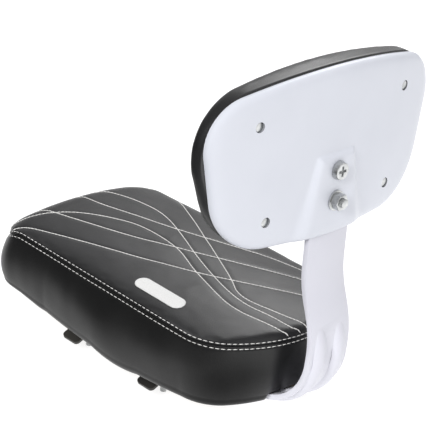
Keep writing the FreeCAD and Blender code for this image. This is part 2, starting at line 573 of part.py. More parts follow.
path = stem_path()
section = rectangle("stem_section", "Sizes.stem_width", "Sizes.stem_gauge",
                    at("0", LEG_FRONT, LEG_MIDDLE), UPRIGHT)
strip = add("Part::Sweep", "strip", Sections=[section], Spine=(path, [f"Edge{i}" for i in range(1, 8)]),
            Solid=True, Frenet=False)
rounded_strip = fillet("rounded_strip", strip, "stem_corner",
                       lambda edge: abs(edge.Length - sheet.get("stem_gauge")) < TOUCH)
beaded_strip = fuse("beaded_strip", rounded_strip,
                    pressed_beads("beads", CREST_ROUND, "Sizes.bead_round", "Sizes.bead_root"))
grooved_strip = cut("grooved_strip", beaded_strip,
                    pressed_beads("grooves", f"({CREST_ROUND} - Sizes.stem_gauge)",
                                  "(Sizes.bead_round - Sizes.stem_gauge)",
                                  "(Sizes.bead_round - Sizes.stem_gauge)"))


# The backrest is drawn about the middle of the shell's rim and then leaned.
def back_prism(name, inset, ahead, behind):
    outline = crowned_outline(name + "_outline", "back", inset, at(), UPRIGHT)
    return extrude(name, outline, V(0, 1, 0), ahead, behind)


def bow_drum(name, grow):
    """Drum whose rear face is the backrest's bow, moved rearward by grow."""
    tall = "4 * Sizes.back_tail_end"
    return cylinder(name, f"2 * (Sizes.back_bow + ({grow}))", tall, at("0", "Sizes.back_bow", f"-({tall}) / 2"))


def back_cylinder(name, width, length, x, y, z):
    """Round bar pointing forward from y."""
    return cylinder(name, width, length, at(x, y, z), ALONG_Y)


UPPER_BOLT = "(0 - Sizes.upper_bolt_drop)"
LOWER_BOLT = "(0 - Sizes.lower_bolt_drop)"
BOSS_FACE = "(0 - Sizes.boss_depth)"
STEM_REAR = "(Sizes.boss_floor - Sizes.boss_depth)"
STEM_FRONT = f"({STEM_REAR} + Sizes.stem_gauge)"
BOLT_BORE = "Sizes.back_thread + Sizes.hole_clear"
SCREW_SPOTS = [(f"{side} * Sizes.screw_{row}_side", f"Sizes.screw_{row}_side", level)
               for row, level in (("top", "Sizes.screw_top_rise"), ("low", "-Sizes.screw_low_drop"))
               for side in (-1, 1)]


def back_face(reach):
    """Depth of the shell's bowed rear face at a distance from the middle."""
    return f"(Sizes.back_bow - sqrt((Sizes.back_bow + Sizes.shell_depth)^2 - ({reach})^2))"


bolt_bores = [back_cylinder("upper_bolt_bore", BOLT_BORE, PAST_PAD, "0", f"0 - {PAST_PAD} / 2", UPPER_BOLT),
              back_cylinder("lower_bolt_bore", BOLT_BORE, PAST_PAD, "0", f"0 - {PAST_PAD} / 2", LOWER_BOLT)]
bolt_holes = lean(group("bolt_holes", bolt_bores))
leg_holes = [cylinder(f"leg_hole_{i}", "Sizes.thread + Sizes.hole_clear", BOARD_UNDER, at(x, y))
             for i, (x, y) in enumerate(LEG_SPOTS)]
backrest_stem = cut("backrest_stem", grooved_strip, bolt_holes, *leg_holes)


def boss_form(name, shrink, face, foot):
    """Tapered hump over the stem, narrow at the top, shrunk all round for its inside."""
    low = "(0 - Sizes.back_tail_end + Sizes.boss_lift)"
    slope = "Sizes.boss_draft"
    face_plan = trapezoid(name + "_face", f"Sizes.boss_top_half - {shrink}", f"Sizes.boss_foot_half - {shrink}",
                          f"-Sizes.boss_top - {shrink}", low, at("0", face))
    foot_plan = trapezoid(name + "_foot", f"Sizes.boss_top_half + {slope} - {shrink}",
                          f"Sizes.boss_foot_half + {slope} - {shrink}",
                          f"-Sizes.boss_top + {slope} - {shrink}", low, at("0", foot))
    return add("Part::Loft", name, Sections=[face_plan, foot_plan], Solid=True, Ruled=True)


shell_block = common("shell_block", back_prism("shell_prism", "0", PAST_PAD, PAST_PAD),
                     bow_drum("shell_back", "Sizes.shell_depth"))
shell_plate = cut("shell_plate", shell_block, bow_drum("shell_front", "0"))


def on_shell_back(edge):
    """True for the outline of the shell's rear face."""
    reach = sheet.get("back_bow") + sheet.get("shell_depth")
    spots = [edge.valueAt(edge.FirstParameter + share * (edge.LastParameter - edge.FirstParameter))
             for share in (0.0, 0.37, 1.0)]
    return all(abs(math.hypot(spot.x, spot.y - sheet.get("back_bow")) - reach) < 1e-4 for spot in spots)


shell_rounded = fillet("shell_rounded", shell_plate, "shell_round", on_shell_back)
shell_hollow = common("shell_hollow", back_prism("hollow_prism", "Sizes.shell_wall", PAST_PAD, PAST_PAD),
                      bow_drum("hollow_back", "Sizes.shell_depth - Sizes.shell_wall"))


def on_boss_ridge(edge):
    """True for the edges round the boss's face and down its upper corners."""
    foot = number_of("-Sizes.shell_depth + Sizes.shell_wall / 2")
    low = number_of("Sizes.boss_lift - Sizes.back_tail_end")
    spots = [vertex.Point for vertex in edge.Vertexes]
    on_foot = all(abs(spot.y - foot) < TOUCH for spot in spots)
    on_low_end = all(abs(spot.z - low) < TOUCH for spot in spots)
    return not (on_foot or on_low_end)


boss_block = boss_form("boss_block", "0", BOSS_FACE, "-Sizes.shell_depth + Sizes.shell_wall / 2")
boss_outside = fillet("boss_outside", boss_block, "boss_round", on_boss_ridge)
boss_inside = boss_form("boss_inside", "Sizes.boss_wall", STEM_REAR, "0")
SLOT_FOOT = "(0 - Sizes.back_tail_end - Sizes.stem_width)"
stem_slot = box("stem_slot", "Sizes.stem_width + 2 * Sizes.stem_clear", PAST_PAD,
                f"0 - Sizes.stem_top + Sizes.stem_clear - {SLOT_FOOT}",
                at("-Sizes.stem_width / 2 - Sizes.stem_clear", STEM_REAR, SLOT_FOOT))
shell_humped = cut("shell_humped", fuse("shell_with_boss", shell_rounded, boss_outside),
                   shell_hollow, boss_inside, stem_slot)
posts, screw_ways, screw_sinks, screws = [], [], [], []
for i, (x, reach, level) in enumerate(SCREW_SPOTS):
    face = back_face(reach)
    seat = f"({face} + Sizes.screw_sink)"
    tip = f"({seat} + Sizes.shell_depth - Sizes.screw_sink + Sizes.cover_gauge + Sizes.screw_grip)"
    posts.append(back_cylinder(f"post_{i}", "Sizes.post_width", PAST_PAD, x,
                               f"{face} + Sizes.shell_wall / 2", level))
    screw_ways.append(back_cylinder(f"screw_way_{i}", "Sizes.screw_thread", PAST_PAD, x,
                                    f"{face} - {PAST_PAD} / 2", level))
    screw_sinks.append(back_cylinder(f"screw_sink_{i}", "Sizes.sink_width", PAST_PAD, x,
                                     f"{seat} - {PAST_PAD}", level))
    shank = back_cylinder(f"screw_shank_{i}", "Sizes.screw_thread", f"{tip} - {seat}", x, seat, level)
    cap = back_cylinder(f"screw_cap_{i}", "Sizes.screw_head", "Sizes.screw_cap", x,
                        f"{seat} - Sizes.screw_cap", level)
    screws.append(fuse(f"pad_screw_{i}", shank, cap))
post_ends = bow_drum("post_ends", f"-({SKIN})")
shell_posted = fuse("shell_posted", shell_humped, cut("trimmed_posts", fuse("posts", *posts), post_ends))
backrest_shell = lean(cut("backrest_shell", shell_posted, *screw_ways, *screw_sinks, *bolt_bores))
pad_screws = lean(group("pad_screws", screws))


def pad_form(name, skin):
    """Pad outside its cover, or inside it, with a rounded front edge."""
    reach = f"Sizes.pad_depth - {skin}"
    prism = back_prism(name + "_prism", f"{skin} - Sizes.pad_overhang", reach, PAST_PAD)
    block = common(name + "_block", prism, bow_drum(name + "_rear", f"-({skin})"))
    front = number_of(reach)
    return fillet(name, block, "pad_round",
                  lambda edge: all(abs(vertex.Point.y - front) < TOUCH for vertex in edge.Vertexes))


def back_board_form(name):
    slab = common(name + "_slab", back_prism(name + "_prism", "Sizes.back_board_inset", PAST_PAD, PAST_PAD),
                  bow_drum(name + "_rear", f"-({SKIN})"))
    return cut(name, slab, bow_drum(name + "_front", f"-({SKIN}) - Sizes.back_board_gauge"))


pad_inside = pad_form("pad_inside", SKIN)
hem_window = back_prism("hem_window", "Sizes.back_board_inset + Sizes.back_hem_width",
                        "Sizes.pad_depth - Sizes.pad_round", PAST_PAD)
backrest_cover = lean(cut("backrest_cover", pad_form("pad_outside", "0"), pad_inside, hem_window))
bolt_room = [back_cylinder(f"bolt_room_{i}", "Sizes.bolt_room", PAST_PAD, "0", f"0 - {PAST_PAD} / 2", level)
             for i, level in enumerate((UPPER_BOLT, LOWER_BOLT))]
backrest_board = lean(cut("backrest_board", back_board_form("back_board"), *bolt_room, *screws))
backrest_foam = lean(cut("backrest_foam", pad_inside, back_board_form("foam_seat"), *screws))

# bolts through the boss and the stem
upper_shank = back_cylinder("upper_shank", "Sizes.back_thread",
                            f"{STEM_FRONT} - {BOSS_FACE} + Sizes.back_nut_height + Sizes.back_bolt_tail",
                            "0", BOSS_FACE, UPPER_BOLT)
pan = add("Part::Cone", "pan", {"Radius1": "Sizes.pan_width / 2 - Sizes.pan_bevel",
                                "Radius2": "Sizes.pan_width / 2", "Height": "Sizes.pan_height",
                                **at("0", f"{BOSS_FACE} - Sizes.pan_height", UPPER_BOLT)}, ALONG_Y)
recess_floor = f"{BOSS_FACE} - Sizes.pan_height"
recess_bars = [box(f"recess_{i}", wide, "Sizes.recess_depth", tall,
                   at(f"-({wide}) / 2", recess_floor, f"{UPPER_BOLT} - ({tall}) / 2"))
               for i, (wide, tall) in enumerate((("Sizes.recess_long", "Sizes.recess_wide"),
                                                 ("Sizes.recess_wide", "Sizes.recess_long")))]
upper_back_bolt = lean(cut("upper_back_bolt", fuse("upper_blank", upper_shank, pan), *recess_bars))


def back_nut(name, y, level):
    block = hexagon(name + "_block", "Sizes.back_nut_width", "Sizes.back_nut_height", at("0", y, level), ALONG_Y)
    bore = back_cylinder(name + "_bore", "Sizes.back_thread", PAST_PAD, "0", f"{y} - {PAST_PAD} / 2", level)
    return block, bore


upper_block, upper_bore = back_nut("upper_nut", STEM_FRONT, UPPER_BOLT)
upper_back_nut = lean(cut("upper_back_nut", upper_block, upper_bore))

FLANGE_REAR = f"({BOSS_FACE} - Sizes.flange_gauge)"
NUT_REAR = f"({FLANGE_REAR} - Sizes.back_nut_height)"
lower_shank = back_cylinder("lower_shank", "Sizes.back_thread", f"{STEM_FRONT} - {NUT_REAR} + Sizes.stud_tail",
                            "0", f"{NUT_REAR} - Sizes.stud_tail", LOWER_BOLT)
lower_head = add("Part::Cone", "lower_head", {"Radius1": "Sizes.lower_head_width / 2",
                                              "Radius2": "Sizes.lower_head_crown / 2",
                                              "Height": "Sizes.lower_head_height",
                                              **at("0", STEM_FRONT, LOWER_BOLT)}, ALONG_Y)
lower_back_bolt = lean(fuse("lower_back_bolt", lower_shank, lower_head))
flange = back_cylinder("flange", "Sizes.flange_width", "Sizes.flange_gauge", "0", FLANGE_REAR, LOWER_BOLT)
lower_block, lower_bore = back_nut("lower_nut", NUT_REAR, LOWER_BOLT)
lower_flange_nut = lean(cut("lower_flange_nut", fuse("flanged_block", flange, lower_block), lower_bore))


def clamp_bar(name, end):
    """Flat steel bar under the board with both ends turned down, at the front or the rear."""
    straight = "((Sizes.clamp_across + Sizes.washer_width) / 2 + Sizes.bar_shoulder)"
    half, flat, bend = number_of("Sizes.bar_length / 2"), number_of(straight), sheet.get("bar_bend")
    droop = math.radians(sheet.get("bar_droop_angle"))
    level = f"({BAR_UNDER} + Sizes.bar_gauge / 2)"
    y = f"{end} * Sizes.clamp_along / 2"
    turn_end = V(flat + bend * math.sin(droop), bend * math.cos(droop) - bend)
    tip = V(half, turn_end.y - (half - turn_end.x) * math.tan(droop))
    spine = add("Sketcher::SketchObject", name + "_path", at("0", y, level), UPRIGHT)
    spine.addGeometry([Part.LineSegment(V(0, 0), V(flat, 0)), arc(V(flat, -bend), bend, turn_end, V(flat, 0)),
                       Part.LineSegment(turn_end, tip)])
    constrain(spine, "Coincident", 0, 1, -1, 1)
    constrain(spine, "Horizontal", 0)
    constrain(spine, "Tangent", 0, 2, 1, 2)
    constrain(spine, "Tangent", 1, 1, 2, 1)
    constrain(spine, "DistanceX", 0, 1, 0, 2, name="flat", expression=straight)
    constrain(spine, "Radius", 1, name="bend", expression="Sizes.bar_bend")
    constrain(spine, "Angle", 2, name="droop", expression="-Sizes.bar_droop_angle")
    constrain(spine, "DistanceX", -1, 1, 2, 2, name="half", expression="Sizes.bar_length / 2")
    profile = rectangle(name + "_section", "Sizes.bar_width", "Sizes.bar_gauge", at("0", y, level), SIDEWAYS)
    right = add("Part::Sweep", name + "_right", Sections=[profile], Spine=(spine, ["Edge1", "Edge2", "Edge3"]),
                Solid=True, Frenet=False)
    left = add("Part::Mirroring", name + "_left", Source=right, Base=V(), Normal=V(1, 0, 0))
    blank = fuse(name + "_blank", right, left)
    blank.Refine = True
    rounded = fillet(name + "_rounded", blank, "bar_corner",
                     lambda edge: abs(edge.Length - sheet.get("bar_gauge")) < TOUCH and
                     abs(edge.CenterOfMass.x) > half - sheet.get("bar_gauge"))
    holes = [cylinder(f"{name}_hole_{side + 1}", "Sizes.thread + Sizes.hole_clear", "Sizes.bar_gauge * 3",
                      at(f"{side} * Sizes.clamp_across / 2", y, f"{BAR_UNDER} - Sizes.bar_gauge"))
             for side in (-1, 1)]
    return cut(name, rounded, *holes)


front_clamp_bar = clamp_bar("front_clamp_bar", 1)
rear_clamp_bar = clamp_bar("rear_clamp_bar", -1)

doc.recompute()

PIECES = [
    seat_board, seat_foam, seat_top_cover, seat_side_band, cover_label, hem_staples,
    backrest_stem, stem_bolts, stem_washers, stem_nuts,
    front_clamp_bar, rear_clamp_bar, clamp_bolts, clamp_washers, clamp_nuts,
    backrest_shell, backrest_board, backrest_foam, backrest_cover, pad_screws,
    upper_back_bolt, upper_back_nut, lower_back_bolt, lower_flange_nut,
]

for obj in doc.Objects:
    if "Invalid" in obj.State or "Error" in obj.State:
        raise RuntimeError(f"{obj.Name} failed: {obj.State}")
for piece in PIECES:
    if piece.Shape.isNull() or not piece.Shape.isValid():
        raise RuntimeError(f"{piece.Label} has no valid shape")

os.makedirs("parts", exist_ok=True)
for piece in PIECES:
    piece.Shape.exportStep(f"parts/{piece.Label}.step")
    box_of = piece.Shape.BoundBox
    print(f"{piece.Label}: {len(piece.Shape.Solids)} solids, {piece.Shape.Volume / 1000:.2f} cm3, "
          f"x {box_of.XMin:.1f}..{box_of.XMax:.1f} y {box_of.YMin:.1f}..{box_of.YMax:.1f} "
          f"z {box_of.ZMin:.1f}..{box_of.ZMax:.1f}")
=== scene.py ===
import math

import bmesh
import bpy
from mathutils import Matrix, Vector, bvhtree, kdtree, noise


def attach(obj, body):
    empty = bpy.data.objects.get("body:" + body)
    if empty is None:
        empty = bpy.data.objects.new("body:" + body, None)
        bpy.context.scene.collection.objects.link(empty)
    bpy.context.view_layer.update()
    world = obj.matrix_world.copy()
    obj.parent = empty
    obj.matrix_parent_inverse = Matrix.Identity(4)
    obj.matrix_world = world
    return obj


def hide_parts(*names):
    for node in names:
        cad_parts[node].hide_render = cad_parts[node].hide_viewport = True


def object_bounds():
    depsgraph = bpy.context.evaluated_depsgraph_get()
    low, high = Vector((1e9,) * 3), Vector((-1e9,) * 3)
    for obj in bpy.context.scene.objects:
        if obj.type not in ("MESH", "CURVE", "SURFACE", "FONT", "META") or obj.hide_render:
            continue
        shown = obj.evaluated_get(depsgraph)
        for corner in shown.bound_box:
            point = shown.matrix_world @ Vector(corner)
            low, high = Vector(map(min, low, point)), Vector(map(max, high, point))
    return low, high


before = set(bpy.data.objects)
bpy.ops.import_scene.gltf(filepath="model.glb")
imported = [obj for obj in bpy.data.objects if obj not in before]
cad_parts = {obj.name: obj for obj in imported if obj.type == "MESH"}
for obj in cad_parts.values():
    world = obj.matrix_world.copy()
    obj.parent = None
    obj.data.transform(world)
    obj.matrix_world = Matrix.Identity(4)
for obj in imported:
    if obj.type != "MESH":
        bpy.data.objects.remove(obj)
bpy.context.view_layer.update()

# Backrest stem: a 48 mm strip of 5 mm steel, bent from a leg under the board into an upright, with two
# stiffening beads pressed through its lower bend. It is powder painted white, and paint rounds its edges.
MM = 0.001
WELD = 0.002 * MM
FLAT_UNDER = math.radians(0.6)
BEVEL_OVER = math.radians(32)
SHARP_OVER = math.radians(40)


class Wire:
    """A socket of a node tree. Sums on wires add their own Math nodes."""

    def __init__(self, tree, socket=None):
        self.tree = tree
        self.socket = socket

    def node(self, kind, inputs=None, output=0, stops=(), **settings):
        """Add a node, set it up, fill or link its inputs and give one of its outputs."""
        made = self.tree.nodes.new(kind)
        for key, setting in settings.items():
            setattr(made, key, setting)
        for place, _ in stops[2:]:
            made.color_ramp.elements.new(place)
        for index, (place, shade) in enumerate(stops):
            made.color_ramp.elements[index].position = place
            made.color_ramp.elements[index].color = (*shade, 1.0)
        for key, given in (inputs or {}).items():
            if isinstance(given, Wire):
                self.tree.links.new(given.socket, made.inputs[key])
            else:
                made.inputs[key].default_value = given
        return Wire(self.tree, made.outputs[output])

    def ramp(self, *stops):
        """Colour picked by this value from two or more (value, colour) stops."""
        return self.node("ShaderNodeValToRGB", {"Fac": self}, stops=stops)

    def speckle(self, scale, detail):
        """Noise over these places."""
        return self.node("ShaderNodeTexNoise", {"Vector": self, "Scale": scale, "Detail": detail})

    def bump(self, strength, depth):
        """Surface normal with this value as its height."""
        return self.node("ShaderNodeBump", {"Strength": strength, "Distance": depth, "Height": self})

    def axis(self, letter):
        return self.node("ShaderNodeSeparateXYZ", {"Vector": self}, letter)

    def dot(self, direction):
        return self.node("ShaderNodeVectorMath", {0: self, 1: direction}, "Value", operation="DOT_PRODUCT")

    def maths(self, operation, first, second):
        return self.node("ShaderNodeMath", {0: first, 1: second}, operation=operation)

    def __add__(self, other):
        return self.maths("ADD", self, other)

    def __radd__(self, other):
        return self.maths("ADD", other, self)

    def __sub__(self, other):
        return self.maths("SUBTRACT", self, other)

    def __rsub__(self, other):
        return self.maths("SUBTRACT", other, self)

    def __mul__(self, other):
        return self.maths("MULTIPLY", self, other)

    def __rmul__(self, other):
        return self.maths("MULTIPLY", other, self)

    def at_most(self, other):
        return self.maths("MINIMUM", self, other)

    def below(self, other):
        return self.maths("LESS_THAN", self, other)

    def zigzag(self, height):
        return self.maths("PINGPONG", self, height)


def new_finish(name, **fixed):
    """Material with its plain values on the shader's own sockets, the places on the piece, and the shader."""
    material = bpy.data.materials.new(name)
    material.use_nodes = True
    shader = material.node_tree.nodes["Principled BSDF"]
    for key, value in fixed.items():
        shader.inputs[key.replace("_", " ")].default_value = value
    place = Wire(material.node_tree).node("ShaderNodeTexCoord", output="Object")
    return material, place, shader


def feed(node, **wires):
    """Link the wires to the sockets of a shader or an output node."""
    for key, wire in wires.items():
        wire.tree.links.new(wire.socket, node.inputs[key.replace("_", " ")])


def painted(name, shade, shadow, rough, peel):
    """Sprayed or moulded finish: faint drift of tone, uneven gloss and a fine orange peel."""
    material, place, shader = new_finish(name)
    drift = place.speckle(14.0, 4.0)
    skin = place.speckle(peel, 2.0)
    scuffs = place.speckle(120.0, 6.0)
    tone = drift.ramp((0.3, shadow), (0.62, shade))
    gloss = rough + 0.1 * drift + 0.08 * scuffs
    feed(shader, Base_Color=tone, Roughness=gloss, Normal=skin.bump(0.12, 0.15 * MM))
    return material


def settle(bm, name, material, sharp_angle=None):
    """Turn a finished bmesh into a piece that rides on the seat."""
    mesh = bpy.data.meshes.new(name)
    bm.to_mesh(mesh)
    bm.free()
    mesh.shade_smooth()
    if sharp_angle:
        mesh.set_sharp_from_angle(angle=sharp_angle)
    mesh.materials.append(material)
    piece = bpy.data.objects.new(name, mesh)
    bpy.context.scene.collection.objects.link(piece)
    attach(piece, "root")
    return piece


def eased(node, name, material, ease):
    """The CAD piece again with its sharp edges broken by a small round."""
    bm = bmesh.new()
    bm.from_mesh(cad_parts[node].data)
    bmesh.ops.remove_doubles(bm, verts=bm.verts, dist=WELD)
    bmesh.ops.dissolve_limit(bm, angle_limit=FLAT_UNDER, verts=bm.verts, edges=bm.edges)
    sharp = [edge for edge in bm.edges if edge.is_manifold and edge.calc_face_angle() > BEVEL_OVER]
    bmesh.ops.bevel(bm, geom=sharp, offset=ease, offset_type="OFFSET", segments=2, profile=0.5,
                    affect="EDGES", clamp_overlap=True, material=-1)
    piece = settle(bm, name, material, SHARP_OVER)
    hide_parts(node)


stem_paint = painted("stem_paint", (0.71, 0.71, 0.775), (0.68, 0.68, 0.745), rough=0.30, peel=420.0)
eased("backrest_stem", "stem_strip", stem_paint, ease=0.9 * MM)

# Clamp bars: two flat steel bars across the underside, drilled for the clamp bolts, with both ends bent
# down to hook a rack's tubes. They are stove black, rubbed a little at the edges.
bar_black = painted("bar_black", (0.045, 0.042, 0.038), (0.024, 0.023, 0.022), rough=0.34, peel=600.0)
for end in ("front", "rear"):
    eased(f"{end}_clamp_bar", f"{end}_hook_bar", bar_black, ease=0.4 * MM)

# Fasteners: zinc-plated coach bolts, washers and nuts hold the bars and the stem's leg to the board. The
# bolts' free tails carry a 1 mm thread.
THREAD_PITCH = 1.0 * MM


def plated(name, thread_axis="", thread_below=0.0):
    """Dull zinc plate with cloudy gloss, and threads cut along an axis below a level."""
    material, place, shader = new_finish(name, Metallic=1.0)
    cloud = place.speckle(160.0, 5.0)
    tone = cloud.ramp((0.3, (0.43, 0.44, 0.44)), (0.7, (0.70, 0.71, 0.71)))
    height = 0.1 * place.speckle(1400.0, 2.0)
    if thread_axis:
        along = place.axis(thread_axis)
        ridge = 2 / THREAD_PITCH * along.zigzag(THREAD_PITCH / 2)
        height = height + ridge * along.below(thread_below)
    feed(shader, Base_Color=tone, Roughness=0.2 + 0.2 * cloud, Normal=height.bump(0.6, 0.5 * MM))
    return material


zinc = plated("zinc_plate")
zinc_tails = plated("zinc_tails", "Z")
for group in ("clamp", "stem"):
    eased(f"{group}_washers", f"{group}_flat_washers", zinc, ease=0.2 * MM)
    eased(f"{group}_nuts", f"{group}_hex_nuts", zinc, ease=0.5 * MM)
    eased(f"{group}_bolts", f"{group}_coach_bolts", zinc_tails, ease=0.4 * MM)

# Seat board: 10 mm birch plywood under the cushion. Its underside shows inside the hem, and the plies
# show along its edge. The pad's bowed board is of the same plywood.
PLY = 1.4 * MM
PLY_TINT = 110.0
plywood, place, shader = new_finish("birch_plywood", Specular_IOR_Level=0.3)
stretched = place.node("ShaderNodeMapping", {"Vector": place, "Scale": (1.0, 0.06, 1.0)})
grain = place.node("ShaderNodeTexNoise",
                   {"Vector": stretched, "Scale": 260.0, "Detail": 6.0, "Distortion": 0.6})
plies = place.axis("Z").zigzag(PLY)
wood = (0.85 * grain + PLY_TINT * plies).ramp((0.3, (0.30, 0.19, 0.10)), (0.7, (0.62, 0.46, 0.29)))
feed(shader, Base_Color=wood, Roughness=0.55 + 0.2 * grain, Normal=grain.bump(0.25, 0.2 * MM))
eased("seat_board", "plywood_board", plywood, ease=0.6 * MM)
eased("backrest_board", "back_plywood", plywood, ease=0.6 * MM)

# Cushion band: the lower leather panel, pulled down over the foam, rolled under the board and stapled
# flat. It bellies between the corners, sags between the bars, and is sewn to the top along a seam.
# Each end of an outline is given as half width, reach, corner radius and bow radius, in millimetres.
STATIONS = 360
ARC_STEPS = 40
SEAM_HEAD = (87.0, 163.5, 34.0, 500.0)
SEAM_TAIL = (91.0, 152.5, 45.0, 125.0)
BASE_HEAD = (86.0, 162.0, 24.0, 500.0)
BASE_TAIL = (88.0, 145.0, 44.0, 140.0)
HEM_HEAD = (54.0, 130.0, 7.0, 468.0)
HEM_TAIL = (56.0, 113.0, 14.0, 108.0)
HEM_FLAT = 11.5
HEM_TOP, HEM_FACE = 14.1, 13.0
SEAM_LEVEL, SEAM_DIP = 76.2, 22.0
EDGE_LEVEL, NOSE_DROP = 18.5, 3.0
NOSE_START, NOSE_LENGTH = 120.0, 43.5
LIFT, LIFT_START, LIFT_LENGTH = 5.0, 95.0, 60.0
SAG, SAG_MIDDLE, SAG_REACH = 3.0, -14.0, 30.0
SWELL, SWELL_MIDDLE, SWELL_AHEAD, SWELL_BEHIND = 8.0, -20.0, 105.0, 72.0
ROLL, NOSE_ROLL_LESS, NOSE_ROLL_LEAD = 9.0, 4.0, 25.0
WALL_BELLY, BELLY_POWER, LEAN_POWER = 4.6, 0.85, 1.25
SLACK, SLACK_LONG, SLACK_SHORT, SLACK_TALL = 0.3, 45.0, 14.0, 60.0
ROLL_STEPS, WALL_STEPS = 9, 35
ROW_GAP = 4.9
CREASE_BELOW = 2.45
CREASE_SINK = 2.0
WALL_TOP = ROW_GAP + 2.2
LOWER_SEAM = ((ROW_GAP + 1.5, 0.1), (ROW_GAP + 0.8, 0.4), (ROW_GAP, 0.75), (ROW_GAP - 0.6, 0.6),
              (ROW_GAP - 1.4, 0.7), (CREASE_BELOW + 0.5, 0.9), (CREASE_BELOW, CREASE_SINK))
NOTCH_RINGS, NOTCH_HALF, NOTCH_LEVEL = 20, 27.0, 21.5


def outline(head, tail):
    """Even stations (point, outward normal) round an outline with bowed ends, from the tail's middle."""
    arcs = []
    for (half, reach, corner, bow), sign in ((tail, 1), (head, -1)):
        turn = math.asin((half - corner) / (bow - corner))
        bow_middle = Vector((0.0, sign * (bow - reach)))
        nook = bow_middle + (bow - corner) * Vector((math.sin(turn), -sign * math.cos(turn)))
        arcs.append((bow_middle, bow, nook, corner, turn))
    (tail_bow, tail_round, tail_nook, tail_corner, tail_turn) = arcs[0]
    (head_bow, head_round, head_nook, head_corner, head_turn) = arcs[1]
    run = head_nook - tail_nook
    side = math.atan2(run.y, run.x) + math.asin((tail_corner - head_corner) / run.length)
    trail = []
    for middle, radius, start, stop in ((tail_bow, tail_round, 0.0, tail_turn),
                                        (tail_nook, tail_corner, tail_turn, side),
                                        (head_nook, head_corner, side, math.pi - head_turn),
                                        (head_bow, head_round, math.pi - head_turn, math.pi)):
        for step in range(ARC_STEPS + 1):
            turn = start + (stop - start) * step / ARC_STEPS
            normal = Vector((math.sin(turn), -math.cos(turn)))
            trail.append((middle + radius * normal, normal))
    flip = Vector((-1.0, 1.0))
    trail += [(point * flip, normal * flip) for point, normal in reversed(trail)]
    lengths = [0.0]
    for (here, _), (there, _) in zip(trail, trail[1:]):
        lengths.append(lengths[-1] + (there - here).length)
    stations = []
    mark = 0
    for index in range(STATIONS):
        wanted = lengths[-1] * index / STATIONS
        while lengths[mark + 1] < wanted:
            mark += 1
        share = (wanted - lengths[mark]) / max(lengths[mark + 1] - lengths[mark], 1e-9)
        (here, here_normal), (there, there_normal) = trail[mark], trail[mark + 1]
        stations.append((here.lerp(there, share), here_normal.lerp(there_normal, share).normalized()))
    return stations


def wrapped(rings):
    """Skin over closed rings of points in millimetres: a grid with one row to each ring, welded shut."""
    bm = bmesh.new()
    bm.loops.layers.uv.new("UVMap")
    around = len(rings[0])
    bmesh.ops.create_grid(bm, x_segments=around, y_segments=len(rings) - 1, size=1.0, calc_uvs=True)
    bm.verts.ensure_lookup_table()
    for row, ring in enumerate(rings):
        for column in range(around + 1):
            bm.verts[row * (around + 1) + column].co = ring[column % around] * MM
    bmesh.ops.remove_doubles(bm, verts=bm.verts, dist=WELD)
    return bm


def leather(name, dark, light, rough, polish=0.5):
    """Coated black leather: closed cells of grain, finer pores, and gloss that drifts with handling."""
    material, place, shader = new_finish(name, Specular_IOR_Level=polish)
    cells = place.node("ShaderNodeTexVoronoi", {"Vector": place, "Scale": 620.0, "Randomness": 0.9},
                       feature="DISTANCE_TO_EDGE")
    pores = place.speckle(1700.0, 2.0)
    drift = place.speckle(22.0, 4.0)
    plateau = (4.5 * cells).at_most(1.0)
    tone = (0.6 * drift + 0.4 * plateau).ramp((0.25, dark), (0.75, light))
    grain_bump = (0.8 * plateau + 0.2 * pores).bump(0.3, 0.12 * MM)
    feed(shader, Base_Color=tone, Roughness=rough + 0.14 * drift - 0.05 * plateau, Normal=grain_bump)
    return material


def clamp(value):
    return min(max(value, 0.0), 1.0)


def side_swell(y):
    """How much the sides belly out between the corners, from 0 to 1, most behind the middle."""
    reach = SWELL_AHEAD if y > SWELL_MIDDLE else SWELL_BEHIND
    return max(1 - ((y - SWELL_MIDDLE) / reach) ** 2, 0.0)


def nose_turn(y):
    """From 0 on the sides to 1 at the front end, where the seam dips and the top rolls over."""
    return clamp((y - NOSE_START) / NOSE_LENGTH)


def seam_level(y):
    return SEAM_LEVEL - SEAM_DIP * (1 - math.cos(math.pi / 2 * nose_turn(y)))


def edge_level(y):
    """Height where the wall starts to turn under: it lifts towards the front and sags between the bars."""
    sag = SAG * max(1 - ((y - SAG_MIDDLE) / SAG_REACH) ** 2, 0.0)
    return EDGE_LEVEL - sag + LIFT * clamp((y - LIFT_START) / LIFT_LENGTH) - NOSE_DROP * nose_turn(y)


def wall_ring(share, below=0.0, sink=0.0):
    """Ring on the wall, a share of the way up to the seam or a little below it, full in the middle."""
    ring = []
    for (low, low_normal), (high, high_normal) in zip(base, seam):
        top_level, low_level = seam_level(high.y), edge_level(low.y)
        level = low_level + (top_level - below - low_level) * share
        part = (level - low_level) / (top_level - low_level)
        full = WALL_BELLY * math.sin(math.pi * part ** BELLY_POWER)
        point = low.lerp(high, part ** LEAN_POWER)
        crinkle = Vector((point.x / SLACK_SHORT, point.y / SLACK_SHORT, level / SLACK_TALL))
        slack = 0.9 * noise.noise(Vector((*point, level)) / SLACK_LONG) + 0.25 * noise.noise(crinkle)
        push = full * (1 + SLACK * slack) - sink
        ring.append(Vector((*(point + push * low_normal.lerp(high_normal, part)), level)))
    return ring


def roll_ring(turn):
    """Ring where the band rolls under the board: tight at the front corners, full along the sides."""
    ring = []
    for point, normal in base:
        roll = ROLL - NOSE_ROLL_LESS * nose_turn(point.y + NOSE_ROLL_LEAD)
        spot = point - roll * (1 - math.sin(turn)) * normal
        ring.append(Vector((*spot, edge_level(point.y) - roll * math.cos(turn))))
    return ring


def hem_ring(outset, level):
    return [Vector((*(point + outset * normal), level)) for point, normal in outline(HEM_HEAD, HEM_TAIL)]


